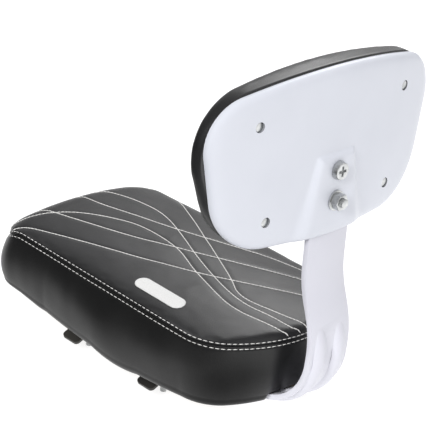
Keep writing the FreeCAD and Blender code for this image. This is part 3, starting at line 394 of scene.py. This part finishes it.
seam = outline(SEAM_HEAD, SEAM_TAIL)
base = [(point + SWELL * abs(normal.x) * side_swell(point.y) * normal, normal)
        for point, normal in outline(BASE_HEAD, BASE_TAIL)]
band_rings = [hem_ring(0.0, HEM_TOP), hem_ring(0.0, HEM_FACE), hem_ring(HEM_FLAT, HEM_FACE)]
tuck = roll_ring(0.0)
for share in (0.2, 0.5, 0.8, 0.95):
    band_rings.append([inner.lerp(under, share) for inner, under in zip(band_rings[2], tuck)])
for step in range(ROLL_STEPS):
    band_rings.append(roll_ring(math.pi / 2 * step / ROLL_STEPS))
for step in range(WALL_STEPS + 1):
    band_rings.append(wall_ring(step / WALL_STEPS, WALL_TOP))
for below, sink in LOWER_SEAM:
    band_rings.append(wall_ring(1.0, below, sink))
# the band is cut out over the stem's leg, where the strip leaves the board
for ring in band_rings[:NOTCH_RINGS]:
    for point in ring:
        if point.y < 0 and abs(point.x) < NOTCH_HALF:
            point.z = max(point.z, NOTCH_LEVEL)
side_leather = leather("side_leather", (0.004, 0.004, 0.0042), (0.008, 0.008, 0.008), rough=0.30)
band = settle(wrapped(band_rings), "cushion_band", side_leather)
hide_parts("seat_side_band")

# Cushion top: the upper leather panel over the crowned foam, rolled down over a soft shoulder to the seam,
# where the stitches pucker it. Six long sewn lines cross it in two sweeping sets and sink into it a little.
SWEEPS = (
    ((2, 168), (4, 124), (11, 93), (28, 38), (50, -11), (70, -50), (88, -105)),
    ((-49, 168), (-41, 125), (-24, 65), (1, 7), (34, -52), (59, -88), (82, -124)),
    ((-90, 142), (-78, 126), (-66, 92), (-42, 19), (-13, -44), (15, -86), (34, -110), (60, -150)),
    ((98, 114), (82, 87), (37, 10), (0, -57), (-13, -79), (-15, -98), (-9, -123), (-2, -146), (3, -164)),
    ((10, 168), (32, 135), (41, 100), (38, 62), (7, -4), (-10, -45), (-19, -74), (-22, -100), (-18, -125),
     (-16, -144), (-11, -150), (-3, -160)),
    ((-84, 150), (-53, 136), (-23, 112), (1, 65), (-1, 12), (-18, -32), (-32, -76), (-35, -103), (-30, -129),
     (-27, -144), (-23, -150), (-15, -160)),
)
SPAN_STEPS = 400
RUN_STEP = 0.2
CHANNEL_DEPTH, CHANNEL_WIDTH = 0.45, 2.6
TOP_MIDDLE = Vector((0.0, 5.5))
CROWN = 12.0
BOW_ACROSS, BOW_ALONG = 1106.0, 6160.0
EDGE_FALL, EDGE_FALL_AT = 2.0, 85.0
UPPER_SEAM = ((CREASE_BELOW, CREASE_SINK), (CREASE_BELOW - 0.5, 0.9), (CREASE_BELOW - 1.2, 0.6), (0.6, 0.6),
              (0.0, 0.8))
SHOULDER_SHARES = (0.06, 0.075, 0.1, 0.14, 0.19, 0.25, 0.32, 0.4, 0.49, 0.6, 0.72, 0.85, 1.0)
SHOULDER_SQUARE, NOSE_SQUARE_LESS = 2.8, 0.8
SHOULDER_WIDTH, NOSE_WIDTH_MORE = 13.0, 18.0
PUCKER, PUCKER_MIDDLE, PUCKER_WIDTH = 0.5, 3.5, 3.0
INWARD_ROWS = 74


def smooth_run(points):
    """Even points along a smooth curve through a few given ones."""
    knots = [Vector(point) for point in points]
    knots = [2 * knots[0] - knots[1], *knots, 2 * knots[-1] - knots[-2]]
    fine = []
    for before, here, there, after in zip(knots, knots[1:], knots[2:], knots[3:]):
        for index in range(SPAN_STEPS):
            t = index / SPAN_STEPS
            fine.append(0.5 * (2 * here + (there - before) * t
                               + (2 * before - 5 * here + 4 * there - after) * t ** 2
                               + (3 * here - before - 3 * there + after) * t ** 3))
    run, covered = [fine[0]], 0.0
    for here, there in zip(fine, fine[1:]):
        covered += (there - here).length
        if covered >= RUN_STEP:
            run.append(there)
            covered -= RUN_STEP
    return run


def bell(distance, width):
    return math.exp(-(distance / width) ** 2)


def ripple(x, y, length, layer):
    """Soft unevenness of a given wave length, from about -1 to 1."""
    return noise.noise(Vector((x / length, y / length, layer)))


def rounded(share, square):
    """Rise of a rounded edge from 0 to 1, along a quarter of a superellipse."""
    return (1 - (1 - share) ** square) ** (1 / square)


def crown_level(x, y):
    """Height of the bowed top over a place in plan, with the sewn lines sunk a little."""
    bow = SEAM_LEVEL + CROWN - x ** 2 / BOW_ACROSS - (y - TOP_MIDDLE.y) ** 2 / BOW_ALONG
    edge = EDGE_FALL * (x / EDGE_FALL_AT) ** 4
    soft = 0.5 * ripple(x, y, 40.0, 3.0) + 0.12 * ripple(x, y, 11.0, 7.0)
    gap = channels.find((x, y, 0.0))[2]
    return bow - edge + soft - CHANNEL_DEPTH * bell(gap, CHANNEL_WIDTH)


sweep_runs = [smooth_run(points) for points in SWEEPS]
sunk_spots = [spot for run in sweep_runs for spot in run]
channels = kdtree.KDTree(len(sunk_spots))
for index, spot in enumerate(sunk_spots):
    channels.insert((*spot, 0.0), index)
channels.balance()

top_rings = [wall_ring(1.0, below, sink) for below, sink in UPPER_SEAM]
for share in SHOULDER_SHARES:
    ring = []
    for index, (point, normal) in enumerate(seam):
        nose = nose_turn(point.y)
        lift = rounded(share, SHOULDER_SQUARE - NOSE_SQUARE_LESS * nose)
        inset = share * (SHOULDER_WIDTH + NOSE_WIDTH_MORE * math.sin(math.pi / 2 * nose))
        spot = point - inset * normal
        pull = noise.noise(Vector((index * 0.33, inset / 9.0, 0.5)))
        pucker = PUCKER * bell(inset - PUCKER_MIDDLE, PUCKER_WIDTH) * pull
        low = seam_level(point.y)
        ring.append(Vector((*spot, low + (crown_level(*spot) - low) * lift + pucker)))
    top_rings.append(ring)
shoulder = top_rings[-1]
for step in range(1, INWARD_ROWS + 1):
    ring = []
    for point in shoulder:
        spot = TOP_MIDDLE + (point.xy - TOP_MIDDLE) * (1 - step / INWARD_ROWS)
        ring.append(Vector((*spot, crown_level(*spot))))
    top_rings.append(ring)
top_form = wrapped(top_rings)
top_skin = bvhtree.BVHTree.FromBMesh(top_form)
top_leather = leather("top_leather", (0.007, 0.007, 0.0075), (0.013, 0.013, 0.014), rough=0.36)
top = settle(top_form, "cushion_top", top_leather)
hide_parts("seat_top_cover", "seat_foam")

# Thread: waxed off-white twist. Each stitch is one short bead of thread that dips into the leather at
# both ends. Two rows run along the seam, and the six sweeping lines end at the upper row.
UP = Vector((0.0, 0.0, 1.0))
SEAM_PITCH, SEAM_STITCH, SEAM_THREAD = 5.2, 5.0, 0.8
SWEEP_PITCH, SWEEP_STITCH, SWEEP_THREAD = 3.5 * MM, 4.9, 1.15
THREAD_SINK = 0.4
SEAM_TILT = 0.12
SEAM_CLEARANCE = 1.2
CAST_HEIGHT = 200.0 * MM
TRAIL_PARTS = 6
TRAIL_REACH = 3
thread, place, shader = new_finish("white_thread", Specular_IOR_Level=0.35)
fuzz = place.speckle(2600.0, 2.0)
tone = fuzz.ramp((0.3, (0.76, 0.75, 0.73)), (0.7, (0.93, 0.92, 0.90)))
feed(shader, Base_Color=tone, Roughness=0.5 + 0.2 * fuzz, Normal=fuzz.bump(0.5, 0.2 * MM))


def stitch(bm, place, along, out, length, width):
    """Bead of thread lying along the leather."""
    across = out.cross(along).normalized()
    turned = Matrix((along.normalized(), across, out.normalized())).transposed().to_4x4()
    scale = Matrix.Diagonal((length / 2 * MM, width / 2 * MM, width / 2 * MM, 1.0))
    bmesh.ops.create_icosphere(bm, subdivisions=1, radius=1.0,
                               matrix=Matrix.Translation(place) @ turned @ scale)


def on_top(spot):
    """Place and outward direction on the cushion's top, straight under a spot in plan."""
    return top_skin.ray_cast((*(spot * MM), CAST_HEIGHT), -UP)[:2]


for row, below in (("upper", 0.0), ("lower", ROW_GAP)):
    path = wall_ring(1.0, below, THREAD_SINK)
    trail = []
    for here, there in zip(path, path[1:] + path[:1]):
        trail += [here.lerp(there, part / TRAIL_PARTS) for part in range(TRAIL_PARTS)]
    length = sum((there - here).length for here, there in zip(trail, trail[1:] + trail[:1]))
    count = round(length / SEAM_PITCH)
    bm = bmesh.new()
    for index in range(count):
        spot = round(index * len(trail) / count)
        along = trail[(spot + TRAIL_REACH) % len(trail)] - trail[spot - TRAIL_REACH]
        out = along.cross(UP) + SEAM_TILT * along.length * UP
        stitch(bm, trail[spot] * MM, along, out, SEAM_STITCH, SEAM_THREAD)
    settle(bm, f"{row}_seam_stitches", thread)

bm = bmesh.new()
for run in sweep_runs:
    laid = [(hit, out) for (hit, out), spot in zip(map(on_top, run), run)
            if hit and hit.z > (seam_level(spot.y) + SEAM_CLEARANCE) * MM]
    walked = SWEEP_PITCH
    for (here, out), (there, _) in zip(laid, laid[1:]):
        walked += (there - here).length
        if walked >= SWEEP_PITCH or there is laid[-1][0]:
            walked -= SWEEP_PITCH
            along = there - here
            stitch(bm, here, along - out * along.dot(out), out, SWEEP_STITCH, SWEEP_THREAD)
settle(bm, "sweep_stitches", thread)

# Patch: a blank white stadium of coated fabric glued to the left of the top. Its edge is rolled over, so
# it stands a little higher than the field.
PATCH_MIDDLE = Vector((-68.2, -38.8))
PATCH_HALF = 7.5
PATCH_STRAIGHT = 21.0
PATCH_STATIONS = 72
PATCH_PROFILE = ((0.0, 0.1), (-0.15, 0.5), (0.15, 0.85), (0.8, 1.0), (1.5, 0.9), (2.2, 0.8), (4.0, 0.8),
                 (6.0, 0.8), (PATCH_HALF, 0.8))
NUDGE = 1e-6
patch_white, place, shader = new_finish("patch_white", Specular_IOR_Level=0.4)
weave = place.speckle(900.0, 3.0)
tone = weave.ramp((0.3, (0.76, 0.76, 0.75)), (0.7, (0.86, 0.86, 0.85)))
feed(shader, Base_Color=tone, Roughness=0.45 + 0.2 * weave, Normal=weave.bump(0.25, 0.1 * MM))

patch_rings = []
for inset, lift in PATCH_PROFILE:
    ring = []
    for index in range(PATCH_STATIONS):
        turn = math.tau * index / PATCH_STATIONS
        round_part = (PATCH_HALF - inset) * Vector((math.cos(turn), math.sin(turn)))
        straight = Vector((0.0, math.copysign(PATCH_STRAIGHT, math.sin(turn) + NUDGE)))
        hit = on_top(PATCH_MIDDLE + round_part + straight)[0]
        ring.append(hit / MM + lift * UP)
    patch_rings.append(ring)
patch = settle(wrapped(patch_rings), "blank_patch", patch_white)
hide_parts("cover_label")

# Staples: flat wire staples, driven through the hem of the band into the board all the way round. Only
# their crowns show.
eased("hem_staples", "hem_wire_staples", zinc, ease=0.15 * MM)

# Backrest shell: white moulded plastic, bowed across, with a hump that houses the head of the stem and
# four sunk screw holes, whose walls are grey as painted shade. One smooth skin, thicker round the screws.
LEANT = Matrix.Translation((0.0, -145.6, 247.2)) @ Matrix.Rotation(math.radians(-3.3), 4, "X")
SHELL_HEAD = (135.5, 74.0, 41.5, 495.0)
SHELL_TAIL = (128.0, 74.0, 58.5, 1550.0)
BACK_BOW = 585.0
SHELL_DEPTH = 7.5
SHELL_WALL = 2.5
RIM_ROUND = 24.0
RIM_SQUARE = 3.4
FOOT_SQUARE_MORE, FOOT_HALF = 2.0, 34.0
HUMP_DEPTH = 11.5
HUMP_TOP, HUMP_FOOT = -3.0, -71.0
HUMP_TOP_HALF, HUMP_FLARE = 20.0, 11.0
FLANK_RISE, FLANK_SOFT = 5.2, 2.4
FLANK_RUN, FLANK_RUN_MORE = 4.0, 8.0
HUMP_BLEND = 1.6
SCREW_SPOTS = [(side * across, rise) for across, rise in ((89.6, 38.0), (74.8, -47.0)) for side in (-1, 1)]
SCREW_SINK = 3.4
SCREW_HOLE = 4.5
BOSS, BOSS_HALF, BOSS_FADE = 4.4, 5.0, 2.0
DRILL_LENGTH = 20.0
INNER_STEPS, OUTER_STEPS = 24, 72
INNER_INSETS = (18.0, 12.0, 8.0, 5.5, 4.0)
RIM_INSETS = (0.0, 0.02, 0.1, 0.3, 0.7, 1.3, 2.2, 3.5, 5.0, 7.0, 9.5, 12.5, 16.0, 20.0)


def back_spot(point, depth):
    """Place on the leaning backrest: a point of its outline at a depth forward of the middle of its rim."""
    return LEANT @ Vector((point.x, depth, point.y))


def rim_depth(x):
    return BACK_BOW - math.sqrt(BACK_BOW ** 2 - x ** 2)


def rear_depth(x, z):
    """Depth of the shell's rear face: a bowed sheet with the hump blended over it."""
    sheet = BACK_BOW - math.sqrt((BACK_BOW + SHELL_DEPTH) ** 2 - x ** 2)
    down = clamp((HUMP_TOP - z) / (HUMP_TOP - HUMP_FOOT))
    beside = abs(x) - HUMP_TOP_HALF - HUMP_FLARE * down
    outside = math.hypot(max(beside, 0.0), max(z - HUMP_TOP, 0.0)) or max(beside, z - HUMP_TOP)
    flank = 0.5 * (outside + math.hypot(outside, FLANK_SOFT)) / (FLANK_RUN + FLANK_RUN_MORE * down)
    hump = FLANK_RISE * flank - HUMP_DEPTH
    return -math.log(math.exp(-HUMP_BLEND * sheet) + math.exp(-HUMP_BLEND * hump)) / HUMP_BLEND


def shell_ring(inset, size=1.0, inside=False):
    """Ring of the shell's skin, rear or inner, at an inset from the rim and shrunk to the middle."""
    ring = []
    for point, normal in back:
        spot = (point - inset * normal) * size
        rim, rear = rim_depth(spot.x), rear_depth(*spot)
        if inside:
            nearest = min(math.hypot(spot.x - x, spot.y - z) for x, z in SCREW_SPOTS)
            depth = min(rear + SHELL_WALL + BOSS * bell(max(nearest - BOSS_HALF, 0.0), BOSS_FADE), rim)
        else:
            square = RIM_SQUARE + FOOT_SQUARE_MORE * bell(point.x, FOOT_HALF) * (point.y < 0)
            depth = rim + (rear - rim) * rounded(min(inset / RIM_ROUND, 1.0), square)
        ring.append(back_spot(spot, depth))
    return ring


back = outline(SHELL_HEAD, SHELL_TAIL)
shell_rings = [shell_ring(RIM_ROUND, step / INNER_STEPS, inside=True) for step in range(INNER_STEPS + 1)]
shell_rings += [shell_ring(inset, inside=True) for inset in INNER_INSETS]
shell_rings.append([back_spot(spot, rim_depth(spot.x))
                    for spot in (point - SHELL_WALL * normal for point, normal in back)])
shell_rings += [shell_ring(inset) for inset in RIM_INSETS]
shell_rings += [shell_ring(RIM_ROUND, step / OUTER_STEPS) for step in range(OUTER_STEPS, -1, -1)]
shell_white = painted("shell_white", (0.725, 0.745, 0.81), (0.695, 0.715, 0.78), rough=0.24, peel=260.0)
# The walls of the screw holes take a grey finish: painted shade in the recesses.
sink_wall_painted_shade = painted("sink_wall_painted_shade", (0.30, 0.31, 0.33), (0.22, 0.23, 0.25), rough=0.4, peel=400.0)
shell = settle(wrapped(shell_rings), "moulded_shell", shell_white)
shell.data.materials.append(sink_wall_painted_shade)
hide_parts("backrest_shell")

drill = bmesh.new()
for x, z in SCREW_SPOTS:
    middle = rear_depth(x, z) + SCREW_SINK - DRILL_LENGTH / 2
    hole = LEANT @ Matrix.Translation((x, middle, z)) @ Matrix.Rotation(math.pi / 2, 4, "X")
    hole.translation *= MM
    bmesh.ops.create_cone(drill, cap_ends=True, segments=40, radius1=SCREW_HOLE * MM,
                          radius2=SCREW_HOLE * MM, depth=DRILL_LENGTH * MM, matrix=hole)
drill_mesh = bpy.data.meshes.new("screw_drill")
drill.to_mesh(drill_mesh)
drill.free()
# The drill's faces become the walls of the holes and take the grey of the painted shade.
for face in drill_mesh.polygons:
    face.material_index = 1
drill_mesh.materials.append(shell_white)
drill_mesh.materials.append(sink_wall_painted_shade)
driller = bpy.data.objects.new("screw_drill", drill_mesh)
bpy.context.scene.collection.objects.link(driller)
sinking = shell.modifiers.new("screw_sinks", "BOOLEAN")
sinking.object = driller
sinking.operation = "DIFFERENCE"
sinking.solver = "EXACT"
drilled = bpy.data.meshes.new_from_object(shell.evaluated_get(bpy.context.evaluated_depsgraph_get()))
shell.modifiers.remove(sinking)
shell.data = drilled
drilled.set_sharp_from_angle(angle=SHARP_OVER)
bpy.data.objects.remove(driller)

# Backrest pad: foam on a bowed board under one piece of black leather, pulled round to the back and
# pinched between the board and the shell's rim. Its corners are drawn in, and its top edge is flatter.
PAD_HEAD = (135.0, 75.3, 52.0, 495.0)
PAD_TAIL = (127.5, 72.0, 68.0, 1550.0)
PAD_SHIFT = Vector((-1.5, 0.0))
PAD_FRONT = 30.0
PAD_CROWN = 3.2
PAD_EDGE = PAD_FRONT - 0.6
PAD_WAIST = 0.42
PAD_POWER = 0.8
PAD_ROUND, TOP_ROUND_MORE = 10.0, 6.0
PAD_BELLY, TOP_BELLY_LESS = 3.0, 2.4
RIM_BELLY = 0.6
RIM_GAP = 1.0
FRONT_STEPS, EDGE_STEPS = 40, 12
PAD_TUCK = ((-0.2, 0.5), (0.6, 0.3), (3.0, 0.25), (8.0, 0.25), (16.0, 0.25), (16.0, 1.1))


def pad_form(normal):
    """How far the front edge is rounded back, and how far the side bellies out."""
    upper = max(normal.y, 0.0) ** 2
    return PAD_ROUND + TOP_ROUND_MORE * upper, PAD_BELLY - TOP_BELLY_LESS * upper


def pad_waist(point):
    """Depth where the pad is widest, under half of the way from the rim to its front."""
    rim = rim_depth(point.x)
    return rim + PAD_WAIST * (PAD_FRONT - rim)


pad_line = [(point + PAD_SHIFT, normal) for point, normal in outline(PAD_HEAD, PAD_TAIL)]
pad_rings = []
for step in range(FRONT_STEPS):
    size = step / FRONT_STEPS
    ring = []
    for point, normal in pad_line:
        spot = (point - pad_form(normal)[0] * normal) * size
        soft = 0.7 * ripple(*spot, 45.0, 11.0)
        ring.append(back_spot(spot, PAD_EDGE + PAD_CROWN * (1 - size ** 2) + soft))
    pad_rings.append(ring)
for step in range(EDGE_STEPS + 1):
    turn = math.pi / 2 * step / EDGE_STEPS
    ring = []
    for point, normal in pad_line:
        waist = pad_waist(point)
        front_round, belly = pad_form(normal)
        inset = front_round - (front_round + belly) * math.sin(turn) ** PAD_POWER
        crease = 0.3 * ripple(*point, 9.0, step * 0.4)
        depth = waist + (PAD_EDGE - waist) * max(math.cos(turn), 0.0) ** PAD_POWER
        ring.append(back_spot(point - (inset + crease) * normal, depth))
    pad_rings.append(ring)
for share in (0.2, 0.4, 0.6, 0.8, 0.92, 1.0):
    ring = []
    for point, normal in pad_line:
        waist = pad_waist(point)
        belly = pad_form(normal)[1]
        inset = (belly - RIM_BELLY) * share ** 2 - belly
        depth = waist + (rim_depth(point.x) + RIM_GAP - waist) * share
        ring.append(back_spot(point - inset * normal, depth))
    pad_rings.append(ring)
for inset, behind in PAD_TUCK:
    pad_rings.append([back_spot(point - inset * normal, rim_depth(point.x - inset * normal.x) + behind)
                      for point, normal in pad_line])
pad_leather = leather("pad_leather", (0.006, 0.006, 0.0065), (0.014, 0.014, 0.015), rough=0.28, polish=0.75)
pad = settle(wrapped(pad_rings), "backrest_pad", pad_leather)
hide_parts("backrest_cover", "backrest_foam")

# Backrest fasteners: a cross-recess bolt and a flange nut on a stud clamp the shell to the stem, and
# four screws in the sunk holes hold the pad.
STUD_TAIL = -164.5 * MM
for node, name in (("upper_back_bolt", "cross_head_bolt"), ("upper_back_nut", "hidden_back_nut"),
                   ("lower_flange_nut", "flange_nut"), ("pad_screws", "pad_wood_screws")):
    eased(node, name, zinc, ease=0.35 * MM)
eased("lower_back_bolt", "back_stud", plated("zinc_stud", "Y", STUD_TAIL), ease=0.3 * MM)

# Setting: a pale floor under a white dome. The floor glows, a painted light that lights the seat as a lamp
# would, while camera rays see it as a plain pale floor. Floor and dome are darker towards the front left,
# where the leather mirrors them, and near the seat's rear corner the floor is darker to gloss alone, a
# painted shadow seen only in reflections. A key panel at the left, which no gloss mirrors, and a weaker far
# panel light the seat.
FLOOR_RADIUS = 9.0
FLOOR_DROP = 0.2 * MM
FLOOR_AWAY = (-0.95, 0.28, 0.0)
REAR_CORNER = (-0.10, -0.21, 0.0)
DARK_SKY = Vector((-0.56, 0.66, 0.50)).normalized()
LAMP_TARGET = Vector((0.0, 0.0, 0.1))


def grey(value):
    return (value, value, value)


scene = bpy.context.scene
scene.view_settings.view_transform = "Standard"
bm = bmesh.new()
bmesh.ops.create_circle(bm, cap_ends=True, segments=96, radius=FLOOR_RADIUS)
bmesh.ops.translate(bm, verts=bm.verts, vec=(0.0, 0.0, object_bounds()[0].z - FLOOR_DROP))
floor_mesh = bpy.data.meshes.new("studio_floor")
bm.to_mesh(floor_mesh)
bm.free()
floor = bpy.data.objects.new("studio_floor", floor_mesh)
scene.collection.objects.link(floor)
floor_pale = bpy.data.materials.new("floor_pale")
floor_pale.use_nodes = True
floor_pale.node_tree.nodes.clear()
floor_mesh.materials.append(floor_pale)
place = Wire(floor_pale.node_tree).node("ShaderNodeTexCoord", output="Object")
# Painted light: the floor's glow for all but camera rays, brightest behind and right of the seat and fading
# towards the front left.
away = place.dot(FLOOR_AWAY)
pool = away.ramp((0.0, grey(0.95)), (0.165, grey(0.64)), (0.25, grey(0.12)), (0.40, grey(0.01)),
                 (0.55, grey(0.12)))
dimmed = away.ramp((0.05, grey(0.42)), (0.30, grey(0.04)))
# Painted shadow: round the seat's rear corner the floor is darker to glossy rays, a shadow seen only in
# reflections.
corner_gap = place.node("ShaderNodeVectorMath", {0: place, 1: REAR_CORNER}, "Value", operation="DISTANCE")
rear_corner_painted_shadow = place.node("ShaderNodeMapRange", {"Value": corner_gap, "From Min": 0.05, "From Max": 0.17,
                                          "To Min": 0.75, "To Max": 0.0})
spared = 1.0 - rear_corner_painted_shadow * place.node("ShaderNodeLightPath", output="Is Glossy Ray")
matt = place.node("ShaderNodeBsdfDiffuse", {"Color": (*grey(0.42), 1.0)})
dim_matt = place.node("ShaderNodeBsdfDiffuse", {"Color": dimmed * spared})
seen_glow = place.node("ShaderNodeEmission", {"Strength": 0.82})
cast_glow = place.node("ShaderNodeEmission", {"Color": pool * spared})
shown = place.node("ShaderNodeAddShader", {0: matt, 1: seen_glow})
mirrored = place.node("ShaderNodeAddShader", {0: dim_matt, 1: cast_glow})
seen = place.node("ShaderNodeLightPath", output="Is Camera Ray")
above = place.node("ShaderNodeMixShader", {0: seen, 1: mirrored, 2: shown})
beneath = place.node("ShaderNodeNewGeometry", output="Backfacing")
clear = place.node("ShaderNodeBsdfTransparent")
whole = place.node("ShaderNodeMixShader", {0: beneath, 1: above, 2: clear})
surface = floor_pale.node_tree.nodes.new("ShaderNodeOutputMaterial")
feed(surface, Surface=whole)

world = bpy.data.worlds.new("studio")
world.use_nodes = True
scene.world = world
direction = Wire(world.node_tree).node("ShaderNodeTexCoord", output="Generated")
dome = direction.dot(DARK_SKY).ramp((0.35, (0.74, 0.74, 0.75)), (0.85, grey(0.27)))
horizon = direction.node("ShaderNodeMapRange", {"Value": direction.axis("Z"), "From Min": 0.05,
                                                "From Max": 0.3, "To Min": 0.25, "To Max": 1.0})
seen = direction.node("ShaderNodeLightPath", output="Is Camera Ray")
lit = direction.node("ShaderNodeBackground", {"Color": dome, "Strength": horizon})
plain = direction.node("ShaderNodeBackground", {"Color": (*grey(1.0), 1.0)})
both = direction.node("ShaderNodeMixShader", {0: seen, 1: lit, 2: plain})
feed(world.node_tree.nodes["World Output"], Surface=both)

for name, spot, size, power, in_gloss in (("far_panel", Vector((1.4, 0.7, 1.5)), 1.0, 15.0, True),
                                          ("key_panel", Vector((-2.2, -0.6, 1.45)), 0.8, 46.0, False)):
    lamp = bpy.data.lights.new(name, "AREA")
    lamp.shape = "SQUARE"
    lamp.size = size
    lamp.energy = power
    holder = bpy.data.objects.new(name, lamp)
    holder.location = spot
    holder.rotation_euler = (LAMP_TARGET - spot).to_track_quat("-Z", "Y").to_euler()
    holder.visible_glossy = in_gloss
    scene.collection.objects.link(holder)

# Camera: the photograph's three-quarter view from behind and to the left, through a long lens. Its place
# and its turn were fitted to the seat's outlines.
CAMERA_PLACE = (-1.2529, -1.1351, 0.9235)
CAMERA_RIGHT = Vector((0.69789, -0.70621, 0.11922))
CAMERA_UP = Vector((0.22933, 0.37804, 0.89693))
lens = bpy.data.cameras.new("photo_camera")
lens.lens = 175.3
lens.sensor_width = 36.0
lens.clip_end = 60.0
camera = bpy.data.objects.new("photo_camera", lens)
axes = Matrix((CAMERA_RIGHT, CAMERA_UP, CAMERA_RIGHT.cross(CAMERA_UP))).transposed().to_4x4()
camera.matrix_world = Matrix.Translation(CAMERA_PLACE) @ axes
scene.collection.objects.link(camera)
scene.camera = camera
